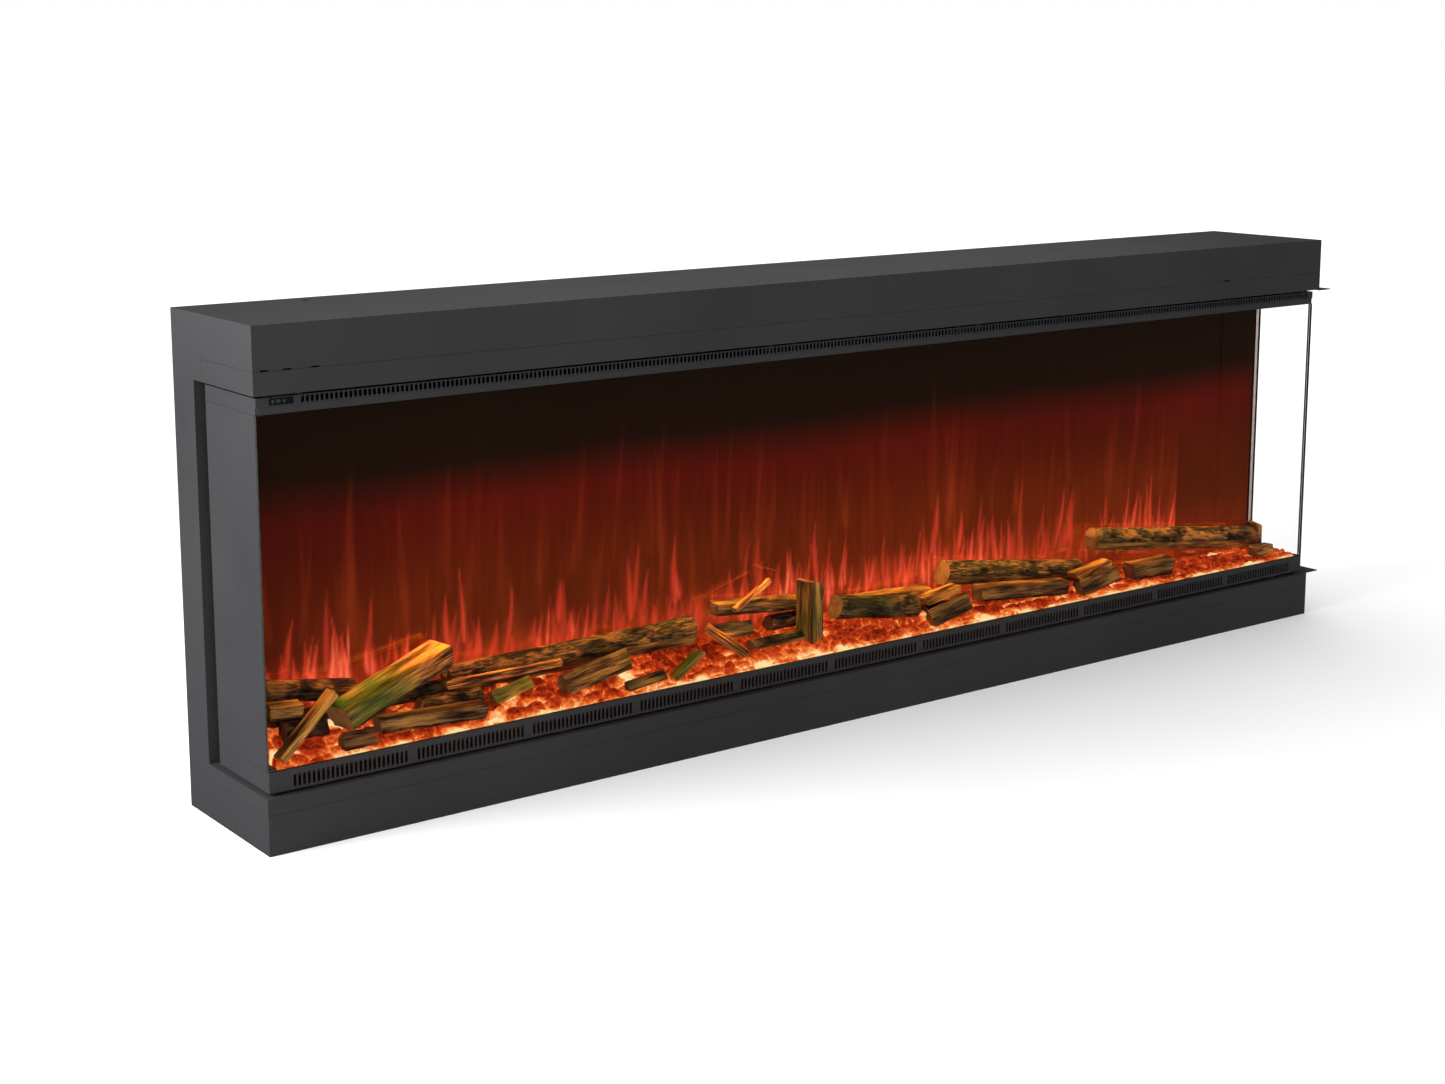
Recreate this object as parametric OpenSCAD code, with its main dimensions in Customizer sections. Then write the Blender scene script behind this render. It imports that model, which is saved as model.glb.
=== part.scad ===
// Linear built-in electric fire, glazed at the front and at its right-hand end.
// X runs along the front from left to right, Y from front to back, Z up.
// Origin: centre of the underside of the whole bounding box. Millimetres.

/* [Casing] */
// Width of the casing, without the flanges on its right
case_w = 1830; // [1700:10:2400]
// Depth of the casing
case_d = 220; // [210:5:300]
// Height of the casing
case_h = 610; // [520:10:800]
// Thickness of the folded sheet steel
sheet = 1.5; // [1:0.1:2]
// Height of the base box
base_h = 68; // [66:1:100]
// Height of the head box
head_h = 79; // [79:1:120]
// Depth of the full-height section behind the side recess
rear_d = 59; // [59:1:75]
// Height of the removable trim along the foot of the head box
head_trim_h = 27; // [20:1:40]
// Height of the trim along the top of the base box
base_trim_h = 20; // [12:1:30]
// How far the horizontal flanges stand out on the right
flange_out = 27; // [12:1:60]
// How far the rear panel sits in from the back edges of the casing
rear_inset = 3; // [2.5:0.5:6]

/* [Glazed unit] */
// How far the glazed unit sits in from each side of the casing
side_inset = 6; // [4:1:10]
// How far the glazed unit sits back from the casing front
front_inset = 8; // [6:1:12]
// Shadow gap above and below the glazed unit
shadow_gap = 3.5; // [2.5:0.5:6]
// Height of the slotted strip under the glass
sill_h = 25; // [24:1:34]
// Height of the slotted band under the head box
vent_h = 10.5; // [10.5:0.5:16]
// Height of the plain rail between the slotted band and the glass
rail_h = 8.6; // [8.6:0.2:14]
// Thickness of the toughened glass
glass_t = 4; // [3:0.5:6]
// Gap between the glazed unit and the rear section, seen from the side
recess_gap = 18; // [10:1:24]
// Distance from the flame screen to the front of the rear section
screen_gap = 61; // [55:1:64]

/* [Vent slots] */
// Width of a slot
slot_w = 3.9; // [2.5:0.1:3.9]
// Distance from slot to slot
slot_pitch = 6; // [5.5:0.1:8]
// Height of the slots in the strip under the glass
sill_slot_h = 15; // [10:1:16]
// Height of the slots in the band under the head box
vent_slot_h = 8; // [6:0.5:8]
// Slots in each group under the glass
slots_per_group = 25; // [12:1:40]

/* [Fire bed] */
// Thickness of the translucent tray
tray_t = 2; // [1.5:0.5:4]
// Depth of the crushed embers on the tray
ember_t = 4.5; // [3:0.5:8]
// Height of the flame stencil behind the diffuser
stencil_h = 262; // [150:1:300]

/* [Flicker spindles] */
// Radius of the spindle shafts
spindle_r = 3; // [2.5:0.25:4]
// Reach of the reflecting vanes from the shaft centre
vane_reach = 18; // [12:1:20]
// Radius of the flicker motors
flicker_motor_r = 24; // [16:1:28]
// Radial clearance between a shaft and its bearing
running_gap = 0.05; // [0.02:0.01:0.1]

/* [Fan heater] */
// Length of the fan heater between its end plates
heater_l = 300; // [200:10:500]
// Radius of the cross-flow rotor
rotor_r = 22; // [16:1:24]
// Radius of the rotor shaft
rotor_shaft_r = 4; // [3:0.5:5]

/* [Controls] */
// Radius of the push buttons
button_r = 2.2; // [1.6:0.1:2.4]
// Travel of the push buttons
button_travel = 1; // [0.5:0.1:1.2]
// Distance between the push buttons
button_pitch = 7; // [7:0.5:8]

/* [Fixings] */
// Radius of the wall-fixing holes in the rear panel
wall_hole_r = 4; // [3:0.5:5]
// Distance across between the wall-fixing holes
wall_pitch_x = 1600; // [1200:10:1640]
// Distance up between the wall-fixing holes
wall_pitch_z = 400; // [300:10:420]
// Radius of the floor-fixing holes in the base
floor_hole_r = 3.5; // [3:0.5:5]
// Distance across between the floor-fixing holes
floor_pitch_x = 1500; // [1200:10:1600]
// Distance front to back between the floor-fixing holes
floor_pitch_y = 120; // [80:5:130]
// Radius of the screw holes in the side flanges
flange_hole_r = 2.1; // [1.5:0.1:3]
// Distance between the screw holes in the side flanges
flange_pitch = 60; // [40:1:65]
// Radius of the bore for the supply cable
gland_bore_r = 4.5; // [3:0.5:6]
// Radius of the casing screws
screw_r = 1.7; // [1.5:0.1:2.2]

/* [Hidden] */
$fn = 32;

// Colours
coat = "#2f2f31";
coat_inside = "#151515";
galvanised = "#9aa0a3";
clear_glass = [0.75, 0.85, 0.82, 0.25];
smoked = "#2a0d08";
opal = "#ff8a4a";
ember_glow = "#d8481c";
bark = "#3d2a1c";
wood_pale = "#a8742f";
moss = "#5a6b2a";
circuit_green = "#1d5a35";
black_plastic = "#121212";
copper = "#b87333";

// Seams and running clearances
seam = 0.3;
lip_w = 10;
trim_step = 22;
bore_extra = 0.2;

// Heights
head_z = case_h - head_h;
unit_z0 = base_h + shadow_gap;
unit_z1 = head_z - shadow_gap;
sill_top = unit_z0 + sill_h;
vent_z0 = unit_z1 - vent_h;
rail_z0 = vent_z0 - rail_h;
glass_z0 = sill_top + seam;
glass_z1 = rail_z0 - seam;
ceiling_z = glass_z1 + 5;
tray_z = sill_top - 5;
bed_z = tray_z + tray_t;
log_z = bed_z + ember_t + 2;

// Depths
unit_y0 = front_inset;
recess_y = case_d - rear_d;
unit_y1 = recess_y - recess_gap;
trim_y1 = recess_y - trim_step;
screen_y = recess_y - screen_gap;
screen_back = screen_y + glass_t;
rear_y1 = case_d - rear_inset;
rear_y0 = rear_y1 - sheet;
glass_back = unit_y0 + glass_t;
diffuser_y = screen_back + 6;
stencil_y = recess_y - 13;

// Widths
unit_x0 = side_inset;
unit_x1 = case_w - side_inset;
mid_x = case_w / 2;
post_w = 12.5;
box_x0 = 20;
box_x1 = case_w - box_x0;
screen_x0 = box_x0;
screen_x1 = case_w - 18;

// Flicker spindles
spindle_y = rear_y0 - 32;
spindle_z = base_h + 40;
motor_l = 20;
coupling_l = 10;
ear_t = 3;
ear_gap = 10;
bush_r = spindle_r + 2;

// Fan heater
blower_y = recess_y - 43;
blower_z = head_z + sheet + 38.5;
blower_x0 = mid_x - heater_l / 2;
blower_x1 = mid_x + heater_l / 2;
scroll_r = rotor_r + 8;
duct_y0 = unit_y0 + sheet + 2.5;
duct_y1 = duct_y0 + 36;
duct_top = blower_z + scroll_r;
duct_foot = vent_z0 - 1;

// Controls at the left end of the slotted band
window_x0 = unit_x0 + 16;
window_l = 30;
window_h = 8;
window_z = vent_z0 + vent_h / 2;
plate_y1 = unit_y0 + 2 * sheet;
vents_x0 = window_x0 + window_l + 8;
vents_x1 = unit_x1 - 12;

// Mains switch and cable gland on the rear panel
service_z = base_h / 2;
switch_x = case_w - 190;
switch_w = 12.6;
switch_h = 18.6;
switch_bezel = 2.2;
gland_x = case_w - 130;
gland_wall = 3.4;
gland_head = 7;
rocker_r = 7;
rocker_l = 9.4;
rocker_pivot_y = rear_y1 - 5;
rocker_tilt = 7;

// Box between two corners, given as [low, high] along each axis
module span(x, y, z)
    translate([x[0], y[0], z[0]]) cube([x[1] - x[0], y[1] - y[0], z[1] - z[0]]);

// Round rod along X, Y or Z from a centre point
module rod_x(p, r, l) translate(p) rotate([0, 90, 0]) cylinder(r = r, h = l);
module rod_y(p, r, l) translate(p) rotate([-90, 0, 0]) cylinder(r = r, h = l);
module rod_z(p, r, l) translate(p) cylinder(r = r, h = l);

// The whole object is drawn from its front left foot and moved so that the origin is centred
module placed() translate([-(case_w + flange_out) / 2, -case_d / 2, 0]) children();

// Upright slot with round ends, cut along Y, centred on x and z
module slot_shape(h) {
    square([slot_w, h - slot_w], center = true);
    for (s = [-1, 1]) translate([0, s * (h - slot_w) / 2]) circle(d = slot_w, $fn = 16);
}

// Row of slots through a sheet whose front face is at y
module slot_row(x0, count, z, h, y)
    translate([0, y + 2 * sheet, 0]) rotate([90, 0, 0]) linear_extrude(3 * sheet)
        for (i = [0 : count - 1]) translate([x0 + i * slot_pitch, z]) slot_shape(h);

// Sheet in the YZ plane, from x to x + sheet
module side_sheet_at(x, points)
    translate([x, 0, 0]) rotate([90, 0, 90]) linear_extrude(sheet) polygon(points);

// ---- Casing ----

wall_holes = [for (sx = [-1, 1], sz = [-1, 1])
    [mid_x + sx * wall_pitch_x / 2, case_h / 2 + sz * wall_pitch_z / 2]];
louvre_count = 25;
louvre_h = 34;
base_louvre_h = 30;
base_louvre_x0 = 549;
screw_rows = [for (i = [0 : 5]) 30 + i * (case_h - 60) / 5];
screw_xs = [sheet + 7, case_w - sheet - 7];

module rear_panel() color(coat) placed() difference() {
    span([sheet, case_w - sheet], [rear_y0, rear_y1], [sheet, case_h - sheet]);
    for (h = wall_holes) rod_y([h[0], rear_y0 - 1, h[1]], wall_hole_r, 2 * sheet + 1);
    for (x = screw_xs, z = screw_rows) rod_y([x, rear_y0 - 1, z], screw_r + 0.1, 2 * sheet + 1);
    rod_y([gland_x, rear_y0 - 1, service_z], gland_bore_r + gland_wall + 0.1, 2 * sheet + 1);
    span([switch_x - switch_w / 2 - bore_extra, switch_x + switch_w / 2 + bore_extra],
        [rear_y0 - 1, rear_y1 + 1],
        [service_z - switch_h / 2 - bore_extra, service_z + switch_h / 2 + bore_extra]);
    for (x = [mid_x - 240, mid_x + 240])
        slot_row(x - louvre_count * slot_pitch / 2 + slot_pitch / 2, louvre_count, blower_z, louvre_h,
            rear_y0 - sheet / 2);
    slot_row(base_louvre_x0, louvre_count, service_z, base_louvre_h, rear_y0 - sheet / 2);
}

// Front wall with hook slots at its foot, top plate with two lifting slots
hook_xs = [14, 42, 76, case_w - 222];
lift_xs = [160, case_w - 160];
module top_cover() color(coat) placed() difference() {
    union() {
        span([sheet, case_w - sheet], [0, case_d], [case_h - sheet, case_h]);
        span([sheet, case_w - sheet], [0, sheet], [head_z + head_trim_h, case_h - sheet]);
    }
    for (x = hook_xs) span([x - 5, x + 5], [-1, sheet + 0.5], [head_z, head_z + head_trim_h + 1.6]);
    for (x = lift_xs) span([x - 5, x + 5], [case_d - 34, case_d - 26], [case_h - 2 * sheet, case_h + 1]);
}

module base_pan() color(coat) placed() difference() {
    union() {
        span([sheet, case_w - sheet], [0, case_d], [0, sheet]);
        span([sheet, case_w - sheet], [0, sheet], [sheet, base_h - base_trim_h]);
    }
    for (sx = [-1, 1], sy = [-1, 1])
        rod_z([mid_x + sx * floor_pitch_x / 2, case_d / 2 + sy * floor_pitch_y / 2, -1], floor_hole_r, 4);
}

side_outline = [[0, 0], [case_d, 0], [case_d, case_h], [0, case_h], [0, head_z + head_trim_h],
    [trim_y1, head_z + head_trim_h], [trim_y1, head_z], [recess_y, head_z], [recess_y, base_h],
    [trim_y1, base_h], [trim_y1, base_h - base_trim_h], [0, base_h - base_trim_h]];

// C-shaped side with a flange at the recess edge and one for the rear panel
module side_sheet(x_skin, x_flange) color(coat) placed() difference() {
    union() {
        side_sheet_at(x_skin, side_outline);
        span([x_flange, x_flange + post_w], [recess_y, recess_y + sheet], [base_h, head_z]);
        span([x_flange, x_flange + post_w], [rear_y0 - sheet, rear_y0], [sheet, case_h - sheet]);
    }
    for (z = screw_rows)
        rod_y([x_flange + (x_skin < mid_x ? 7 : post_w - 7), rear_y0 - 3, z], screw_r + 0.1, 4);
}

module left_side_sheet() side_sheet(0, sheet);
module right_side_sheet() side_sheet(case_w - sheet, case_w - sheet - post_w);

// Underside of the head box, with the mouth that the warm air comes down through
module head_floor() color(coat) placed() difference() {
    span([sheet, case_w - sheet], [lip_w + seam, rear_y0 - sheet], [head_z, head_z + sheet]);
    span([blower_x0 - seam, blower_x1 + seam], [duct_y0 - seam, duct_y1 + seam], [head_z - 1, head_z + 3]);
}

module base_deck() color(coat) placed()
    span([sheet, case_w - sheet], [lip_w, rear_y0 - sheet], [base_h - sheet, base_h]);

// U-shaped trim: a front, two side wings and a lip that closes the box behind it
module trim(z0, z1, lip_z, wing_end) {
    span([0, case_w], [0, sheet], [z0, z1]);
    for (x = [0, case_w - sheet]) span([x, x + sheet], [sheet, wing_end], [z0, z1]);
    span([sheet, case_w - sheet], [sheet, lip_w], [lip_z, lip_z + sheet]);
}

module head_trim() color(coat) placed()
    trim(head_z, head_z + head_trim_h - seam, head_z, trim_y1 - seam);
module base_trim() color(coat) placed()
    trim(base_h - base_trim_h + seam, base_h, base_h - sheet, trim_y1 - seam);

// Flat plate that carries the wall lining past the open end
flange_lap = 16;
module side_flange(z) color(coat) placed() difference() {
    union() {
        span([case_w, case_w + flange_out], [0, recess_y], [z, z + sheet]);
        span([case_w - flange_lap, case_w], [lip_w + seam, recess_y], [z, z + sheet]);
    }
    for (i = [-1, 1])
        rod_z([case_w + flange_out / 2, recess_y / 2 + i * flange_pitch, z - 1], flange_hole_r, 4);
}
module upper_flange() side_flange(head_z - sheet);
module lower_flange() side_flange(base_h);

// Pan-head screws that hold the rear panel to the side flanges
module casing_screws() color(galvanised) placed() for (x = screw_xs, z = screw_rows) {
    rod_y([x, rear_y0 - sheet - 4, z], screw_r, 4 + 2 * sheet);
    rod_y([x, rear_y1, z], 2 * screw_r, 1.8);
}

// ---- Glazed unit ----

// Front strip and side wings of the glazed unit between two heights
module unit_band(z0, z1, wing_z0) {
    span([unit_x0, unit_x1], [unit_y0, unit_y0 + sheet], [z0, z1]);
    for (x = [unit_x0, unit_x1 - sheet])
        span([x, x + sheet], [unit_y0 + sheet, unit_y1], [wing_z0, z1]);
}

// Slotted band under the head box, its window for the controls and its hangers
module upper_vent_frame() color(coat) placed() difference() {
    union() {
        unit_band(vent_z0, unit_z1, rail_z0);
        for (x = [vents_x0 - 4, blower_x0 - 40, blower_x1 + 30, vents_x1 - 14]) {
            span([x, x + 8], [unit_y0 + sheet + 1, unit_y0 + 2 * sheet + 1], [unit_z1 - 6, head_z]);
            span([x, x + 8], [unit_y0 + sheet, unit_y0 + 2 * sheet + 1], [unit_z1 - 1, unit_z1]);
        }
    }
    slot_row(vents_x0 + slot_pitch / 2, floor((vents_x1 - vents_x0) / slot_pitch),
        window_z, vent_slot_h, unit_y0);
    span([window_x0, window_x0 + window_l], [unit_y0 - 1, unit_y0 + 1 + sheet],
        [window_z - window_h / 2, window_z + window_h / 2]);
}

sill_group_l = slots_per_group * slot_pitch + 11;
sill_groups = floor((unit_x1 - unit_x0 - 40) / sill_group_l);
sill_x0 = mid_x - sill_groups * sill_group_l / 2 + 5.5 + slot_pitch / 2;
feet = 6;

// Slotted strip under the glass, the ledge for the ember tray and its feet
module lower_vent_frame() color(coat) placed() difference() {
    union() {
        unit_band(unit_z0, sill_top, unit_z0);
        span([unit_x0 + sheet, unit_x1 - sheet], [unit_y0 + sheet, unit_y0 + 14],
            [unit_z0, unit_z0 + sheet]);
        span([unit_x0 + sheet, unit_x1 - sheet], [unit_y0 + sheet, glass_back + 4],
            [tray_z - sheet, tray_z]);
        for (i = [0 : feet - 1])
            translate([60 + i * (case_w - 140) / (feet - 1), unit_y0 + 6, base_h])
                cube([20, 8, shadow_gap]);
    }
    for (g = [0 : sill_groups - 1])
        slot_row(sill_x0 + g * sill_group_l, slots_per_group, tray_z - sheet - sill_slot_h / 2 - 0.5,
            sill_slot_h, unit_y0);
}

module glass_top_rail() color(coat) placed() {
    span([unit_x0 + sheet + seam, unit_x1 - sheet - seam], [unit_y0, unit_y0 + sheet],
        [rail_z0, vent_z0 - seam]);
    span([unit_x0 + sheet + seam, unit_x1 - sheet - seam], [unit_y0 + sheet, unit_y0 + 6],
        [ceiling_z - 2 * sheet, ceiling_z - sheet]);
}

// Infill that takes the place of a left-hand glass, with three of its edges turned in
module left_infill_panel() color(coat) placed() {
    span([unit_x0, unit_x0 + sheet], [glass_back + seam, unit_y1], [glass_z0, glass_z1]);
    for (z = [glass_z0, glass_z1 - sheet])
        span([unit_x0 + sheet, unit_x0 + 12], [glass_back + seam, unit_y1], [z, z + sheet]);
    span([unit_x0 + sheet, unit_x0 + 12], [unit_y1 - sheet, unit_y1], [glass_z0 + sheet, glass_z1 - sheet]);
}

module front_glass() color(clear_glass) placed()
    span([unit_x0, unit_x1], [unit_y0, glass_back], [glass_z0, glass_z1]);
module right_glass() color(clear_glass) placed()
    span([unit_x1 - glass_t, unit_x1], [glass_back + seam, unit_y1], [glass_z0, glass_z1]);

// ---- Fire bed ----

module firebox_ceiling() color(coat_inside) placed()
    span([unit_x0 + sheet, unit_x1 - sheet], [unit_y0 + sheet, screen_y], [ceiling_z, ceiling_z + sheet]);

module ember_tray() color(opal) placed()
    span([unit_x0 + sheet, unit_x1 - sheet], [glass_back + 0.5, screen_y - 0.5], [tray_z, bed_z]);

bed_x0 = unit_x0 + 14;
bed_x1 = unit_x1 - glass_t - 2;
bed_l = bed_x1 - bed_x0;

// The log set was laid out on this bed, length by depth, and is cut to suit any other
laid_out_bed = [1798, 88];
fit_x = bed_l / laid_out_bed[0];
fit_y = (screen_y - glass_back) / laid_out_bed[1];

// Crushed embers as one layer that rises towards the back in two steps, more on the left
bed_steps = [23, 55];
rises_left = [12, 24];
rises_right = [2, 4];
left_share = 0.6;
module bed_part(x0, x1, rises) {
    top = bed_z + ember_t;
    back_y = screen_y - 2;
    step_y = [for (d = bed_steps) glass_back + fit_y * d];
    translate([x0, 0, 0]) rotate([90, 0, 90]) linear_extrude(x1 - x0) polygon([
        [glass_back + 1, bed_z], [back_y, bed_z],
        [back_y, top + fit_x * rises[1]], [step_y[1], top + fit_x * rises[1]],
        [step_y[1], top + fit_x * rises[0]], [step_y[0], top + fit_x * rises[0]],
        [step_y[0], top], [glass_back + 1, top]]);
}
module ember_bed() color(ember_glow) placed() {
    bed_part(bed_x0, bed_x0 + left_share * bed_l, rises_left);
    bed_part(bed_x0 + left_share * bed_l, bed_x1, rises_right);
}

// Split log: bark-backed section carried along its length, lying on its flat side
module log_shape(l, w, h)
    translate([-l / 2, 0, 0]) rotate([90, 0, 90]) linear_extrude(l)
        polygon([[-w * 0.5, h * 0.1], [-w * 0.35, 0], [w * 0.4, 0], [w * 0.5, h * 0.3],
            [w * 0.38, h * 0.75], [w * 0.1, h], [-w * 0.25, h * 0.9], [-w * 0.46, h * 0.55]]);

// Log laid on the bed: centre as a share of the bed's length and as a distance behind the glass,
// then length, width, height, turn about Z, tilt along its length and lift above the bed
module laid_log(share, y, l, w, h, turn = 0, tilt = 0, lift = 0) placed()
    translate([bed_x0 + share * bed_l, glass_back + fit_y * y, log_z + fit_x * lift])
        rotate([0, 0, atan(tan(turn) * fit_y / fit_x)]) rotate([0, -tilt, 0])
            log_shape(fit_x * l, fit_y * w, h);

module log_bark_left() color(bark) laid_log(0.040, 72, 112, 26, 26, tilt = -8, lift = 48);
module log_split_green() color(moss)
    laid_log(0.097, 45, 168, 38, 30, turn = 15.6, tilt = 14, lift = 43);
module log_long_dark() color(bark) laid_log(0.248, 70, 370, 30, 36, tilt = 0.8, lift = 25.5);
module log_dark_end() color(bark) laid_log(0.252, 28, 118, 24, 26, turn = 12, tilt = 5, lift = 16.5);
upright = [80, 32, 28];
module log_upright() color(moss) placed()
    translate([bed_x0 + 0.45 * bed_l, glass_back + fit_y * 37, log_z + fit_x * 10.5 + upright.x / 2])
        rotate([0, 0, 8]) translate([upright.z / 2, 0, 0]) rotate([0, -90, 0])
            log_shape(upright.x, fit_y * upright.y, upright.z);
module log_mossy() color(moss) laid_log(0.516, 39, 150, 27, 32, tilt = -8, lift = 21.5);
module log_curved_bark() color(bark) laid_log(0.680, 70, 280, 30, 34, tilt = -7.5, lift = 22.5);
module log_right_bark() color(bark) laid_log(0.878, 70, 368, 30, 34, tilt = -7, lift = 26);

// Small splits, sticks and offcuts between the logs, each as the values of laid_log in order
sticks = [
    [0.040, 72, 96, 26, 15, 0, 0, 23],
    [0.016, 46, 44, 22, 18, 0, -5, 42],
    [0.030, 44, 52, 22, 28, 0, 0, 11],
    [0.027, 22, 98, 16, 9, 14, 37, 32],
    [0.060, 12, 40, 20, 20, 0, 0, 0.5],
    [0.118, 70, 82, 26, 20, 0, 0, 23],
    [0.138, 42, 87, 20, 21, 0, -2, 12.5],
    [0.114, 12, 144, 20, 20, 0, -3, 9],
    [0.183, 47, 165, 9, 9, 0, 0.3, 38],
    [0.186, 38, 60, 18, 16, 9, 8, 16],
    [0.288, 9.5, 57, 15, 12, 0, 6, 4],
    [0.326, 13, 50, 18, 6, 0, 32, 15.5],
    [0.370, 38, 64, 18, 8, -50, -32, 27.5],
    [0.412, 70, 148, 24, 18, 0, -5, 53],
    [0.390, 70, 62, 26, 19, 0, -3, 25],
    [0.440, 70, 60, 24, 20, 0, 0, 23],
    [0.416, 35, 90, 18, 14, 1, 0, 12.5],
    [0.404, 58, 80, 8, 6, 14, 20, 78],
    [0.538, 70, 174, 24, 20, 0, -2, 27],
    [0.586, 42, 70, 24, 10, 0, 9, 31],
    [0.586, 42, 54, 22, 13, 0, 0, 10.5],
    [0.583, 12.5, 78, 20, 24, 0, 12, 9.5],
    [0.672, 34, 176, 22, 24, 0, -5, 9.5],
    [0.759, 43, 74, 22, 10, 0, 9, 23],
    [0.759, 43, 56, 20, 14, 0, 0, 1],
    [0.752, 12.5, 74, 20, 22, 0, 10, 8],
    [0.826, 34, 86, 24, 28, 0, 0, 1],
    [0.969, 28, 45, 20, 16, 0, 0, 1],
    [0.987, 70, 15, 28, 42, 0, 0, 3]];
module kindling() color(wood_pale) for (s = sticks)
    laid_log(s[0], s[1], s[2], s[3], s[4], turn = s[5], tilt = s[6], lift = s[7]);

// ---- Flame picture ----

channel_wall = sheet;
module screen_channel() color(coat_inside) placed() difference() {
    span([screen_x0, screen_x1],
        [screen_y - bore_extra - channel_wall, screen_back + bore_extra + channel_wall],
        [base_h, base_h + 12]);
    span([screen_x0 - 1, screen_x1 + 1], [screen_y - bore_extra, screen_back + bore_extra],
        [base_h + channel_wall, base_h + 13]);
}
module flame_screen() color(smoked) placed()
    span([screen_x0, screen_x1], [screen_y, screen_back], [base_h + channel_wall, ceiling_z - 1]);
module flame_diffuser() color(opal) placed()
    span([box_x0 + sheet, box_x1 - sheet], [diffuser_y, diffuser_y + 2], [base_h, ceiling_z - 6]);

// Sheet with lens-shaped flame windows, tall and short in turn
flame_pitch = 60;
flame_count = floor((box_x1 - box_x0 - 2 * sheet - 40) / flame_pitch);
module flame_window(h, w) {
    r = (h * h + w * w) / (4 * w);
    intersection() {
        translate([w / 2 - r, 0]) circle(r = r);
        translate([r - w / 2, 0]) circle(r = r);
    }
}
module flame_stencil() color(galvanised) placed() translate([0, stencil_y, 0]) rotate([90, 0, 0])
    linear_extrude(1) difference() {
        translate([box_x0 + sheet, base_h]) square([box_x1 - box_x0 - 2 * sheet, stencil_h]);
        for (i = [0 : flame_count - 1])
            translate([box_x0 + 50 + i * flame_pitch, base_h + stencil_h / 2 - 10 + 14 * sin(i * 80)])
                flame_window(stencil_h * (0.62 + 0.16 * sin(i * 131)), 24 + 5 * sin(i * 57));
    }

// Sheets around the flame works: two ends and a roof that lies over them
module light_box() color(coat_inside) placed() {
    for (x = [box_x0, box_x1 - sheet])
        span([x, x + sheet], [screen_back + 3, rear_y0], [base_h, ceiling_z - seam]);
    span([box_x0, box_x1], [screen_y, rear_y0], [ceiling_z, ceiling_z + sheet]);
}

// Shaft with bright vanes set in a slow spiral, x0 and x1 being the ends of the shaft
module flicker_spindle(x0, x1, vane_x0, vane_x1) color(galvanised) placed() {
    rod_x([x0, spindle_y, spindle_z], spindle_r, x1 - x0);
    vanes = floor((vane_x1 - vane_x0) / 34);
    for (i = [0 : vanes - 1])
        translate([vane_x0 + i * 34, spindle_y, spindle_z]) rotate([i * 37, 0, 0])
            translate([0, -vane_reach, -0.3]) cube([27, 2 * vane_reach, 0.6]);
}
spindle_end = ear_gap / 2 - 1.5;
motor_face_l = box_x0 + sheet + motor_l;
motor_face_r = box_x1 - sheet - motor_l;
module flicker_spindle_left()
    flicker_spindle(motor_face_l - coupling_l, mid_x - spindle_end, motor_face_l + 12, mid_x - 30);
module flicker_spindle_right()
    flicker_spindle(mid_x + spindle_end, motor_face_r + coupling_l, mid_x + 30, motor_face_r - 12);

// Flat gear motor on an end wall of the light box, bored for the spindle
module flicker_motor(x0, bore_x) color(galvanised) placed() difference() {
    union() {
        rod_x([x0, spindle_y, spindle_z], flicker_motor_r, motor_l);
        span([x0 + motor_l / 2 - 1, x0 + motor_l / 2 + 1], [spindle_y - 30, spindle_y + 30],
            [base_h, base_h + 18]);
    }
    rod_x([bore_x, spindle_y, spindle_z], spindle_r + running_gap, coupling_l + 2);
}
module flicker_motor_left() flicker_motor(box_x0 + sheet, motor_face_l - coupling_l - 1);
module flicker_motor_right() flicker_motor(motor_face_r, motor_face_r - 1);

module spindle_bracket() color(galvanised) placed() difference() {
    union() {
        for (x = [mid_x - ear_gap / 2 - ear_t, mid_x + ear_gap / 2])
            span([x, x + ear_t], [spindle_y - 12, spindle_y + 12], [base_h, spindle_z + 12]);
        span([mid_x - ear_gap / 2, mid_x + ear_gap / 2], [spindle_y - 12, spindle_y + 12],
            [base_h, base_h + 3]);
    }
    rod_x([mid_x - ear_gap, spindle_y, spindle_z], bush_r, 2 * ear_gap);
}
module spindle_bushes() color(copper) placed()
    for (x = [mid_x - ear_gap / 2 - ear_t, mid_x + ear_gap / 2]) difference() {
        rod_x([x, spindle_y, spindle_z], bush_r, ear_t);
        rod_x([x - 1, spindle_y, spindle_z], spindle_r + running_gap, ear_t + 2);
    }

// ---- Lights ----

// Circuit strip with square light sources, lying in XY at height z; side is +1 up, -1 down
module led_strip(x0, x1, y, z, side) {
    span([x0, x1], [y, y + 10], [min(z, z + side * 1.6), max(z, z + side * 1.6)]);
    chip_z = side > 0 ? z + 1.6 : z - 2.8;
    for (x = [x0 + 20 : 50 : x1 - 20]) span([x, x + 4], [y + 3, y + 7], [chip_z, chip_z + 1.2]);
}
module ember_led_strip() color(circuit_green) placed()
    led_strip(unit_x0 + 20, unit_x1 - 20, (glass_back + screen_y) / 2, base_h, 1);
module downlight_led_strip() color(circuit_green) placed()
    led_strip(unit_x0 + 20, unit_x1 - 20, glass_back + 6, ceiling_z, -1);
module flame_led_strip() color(circuit_green) placed()
    translate([0, rear_y0, spindle_z - 5]) rotate([90, 0, 0])
        led_strip(box_x0 + 10, box_x1 - 10, 0, 0, 1);

// ---- Fan heater ----

// Side outline of the scroll and the duct down to the slotted band, drawn in by i
function duct_outline(i, foot) = concat(
    [[duct_y0 + i, foot], [duct_y0 + i, duct_top - i], [blower_y, duct_top - i]],
    [for (a = [80 : -10 : -80]) [blower_y + (scroll_r - i) * cos(a), blower_z + (scroll_r - i) * sin(a)]],
    [[blower_y, blower_z - scroll_r + i], [duct_y1 - i, blower_z - scroll_r + i], [duct_y1 - i, foot]]);

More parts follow.
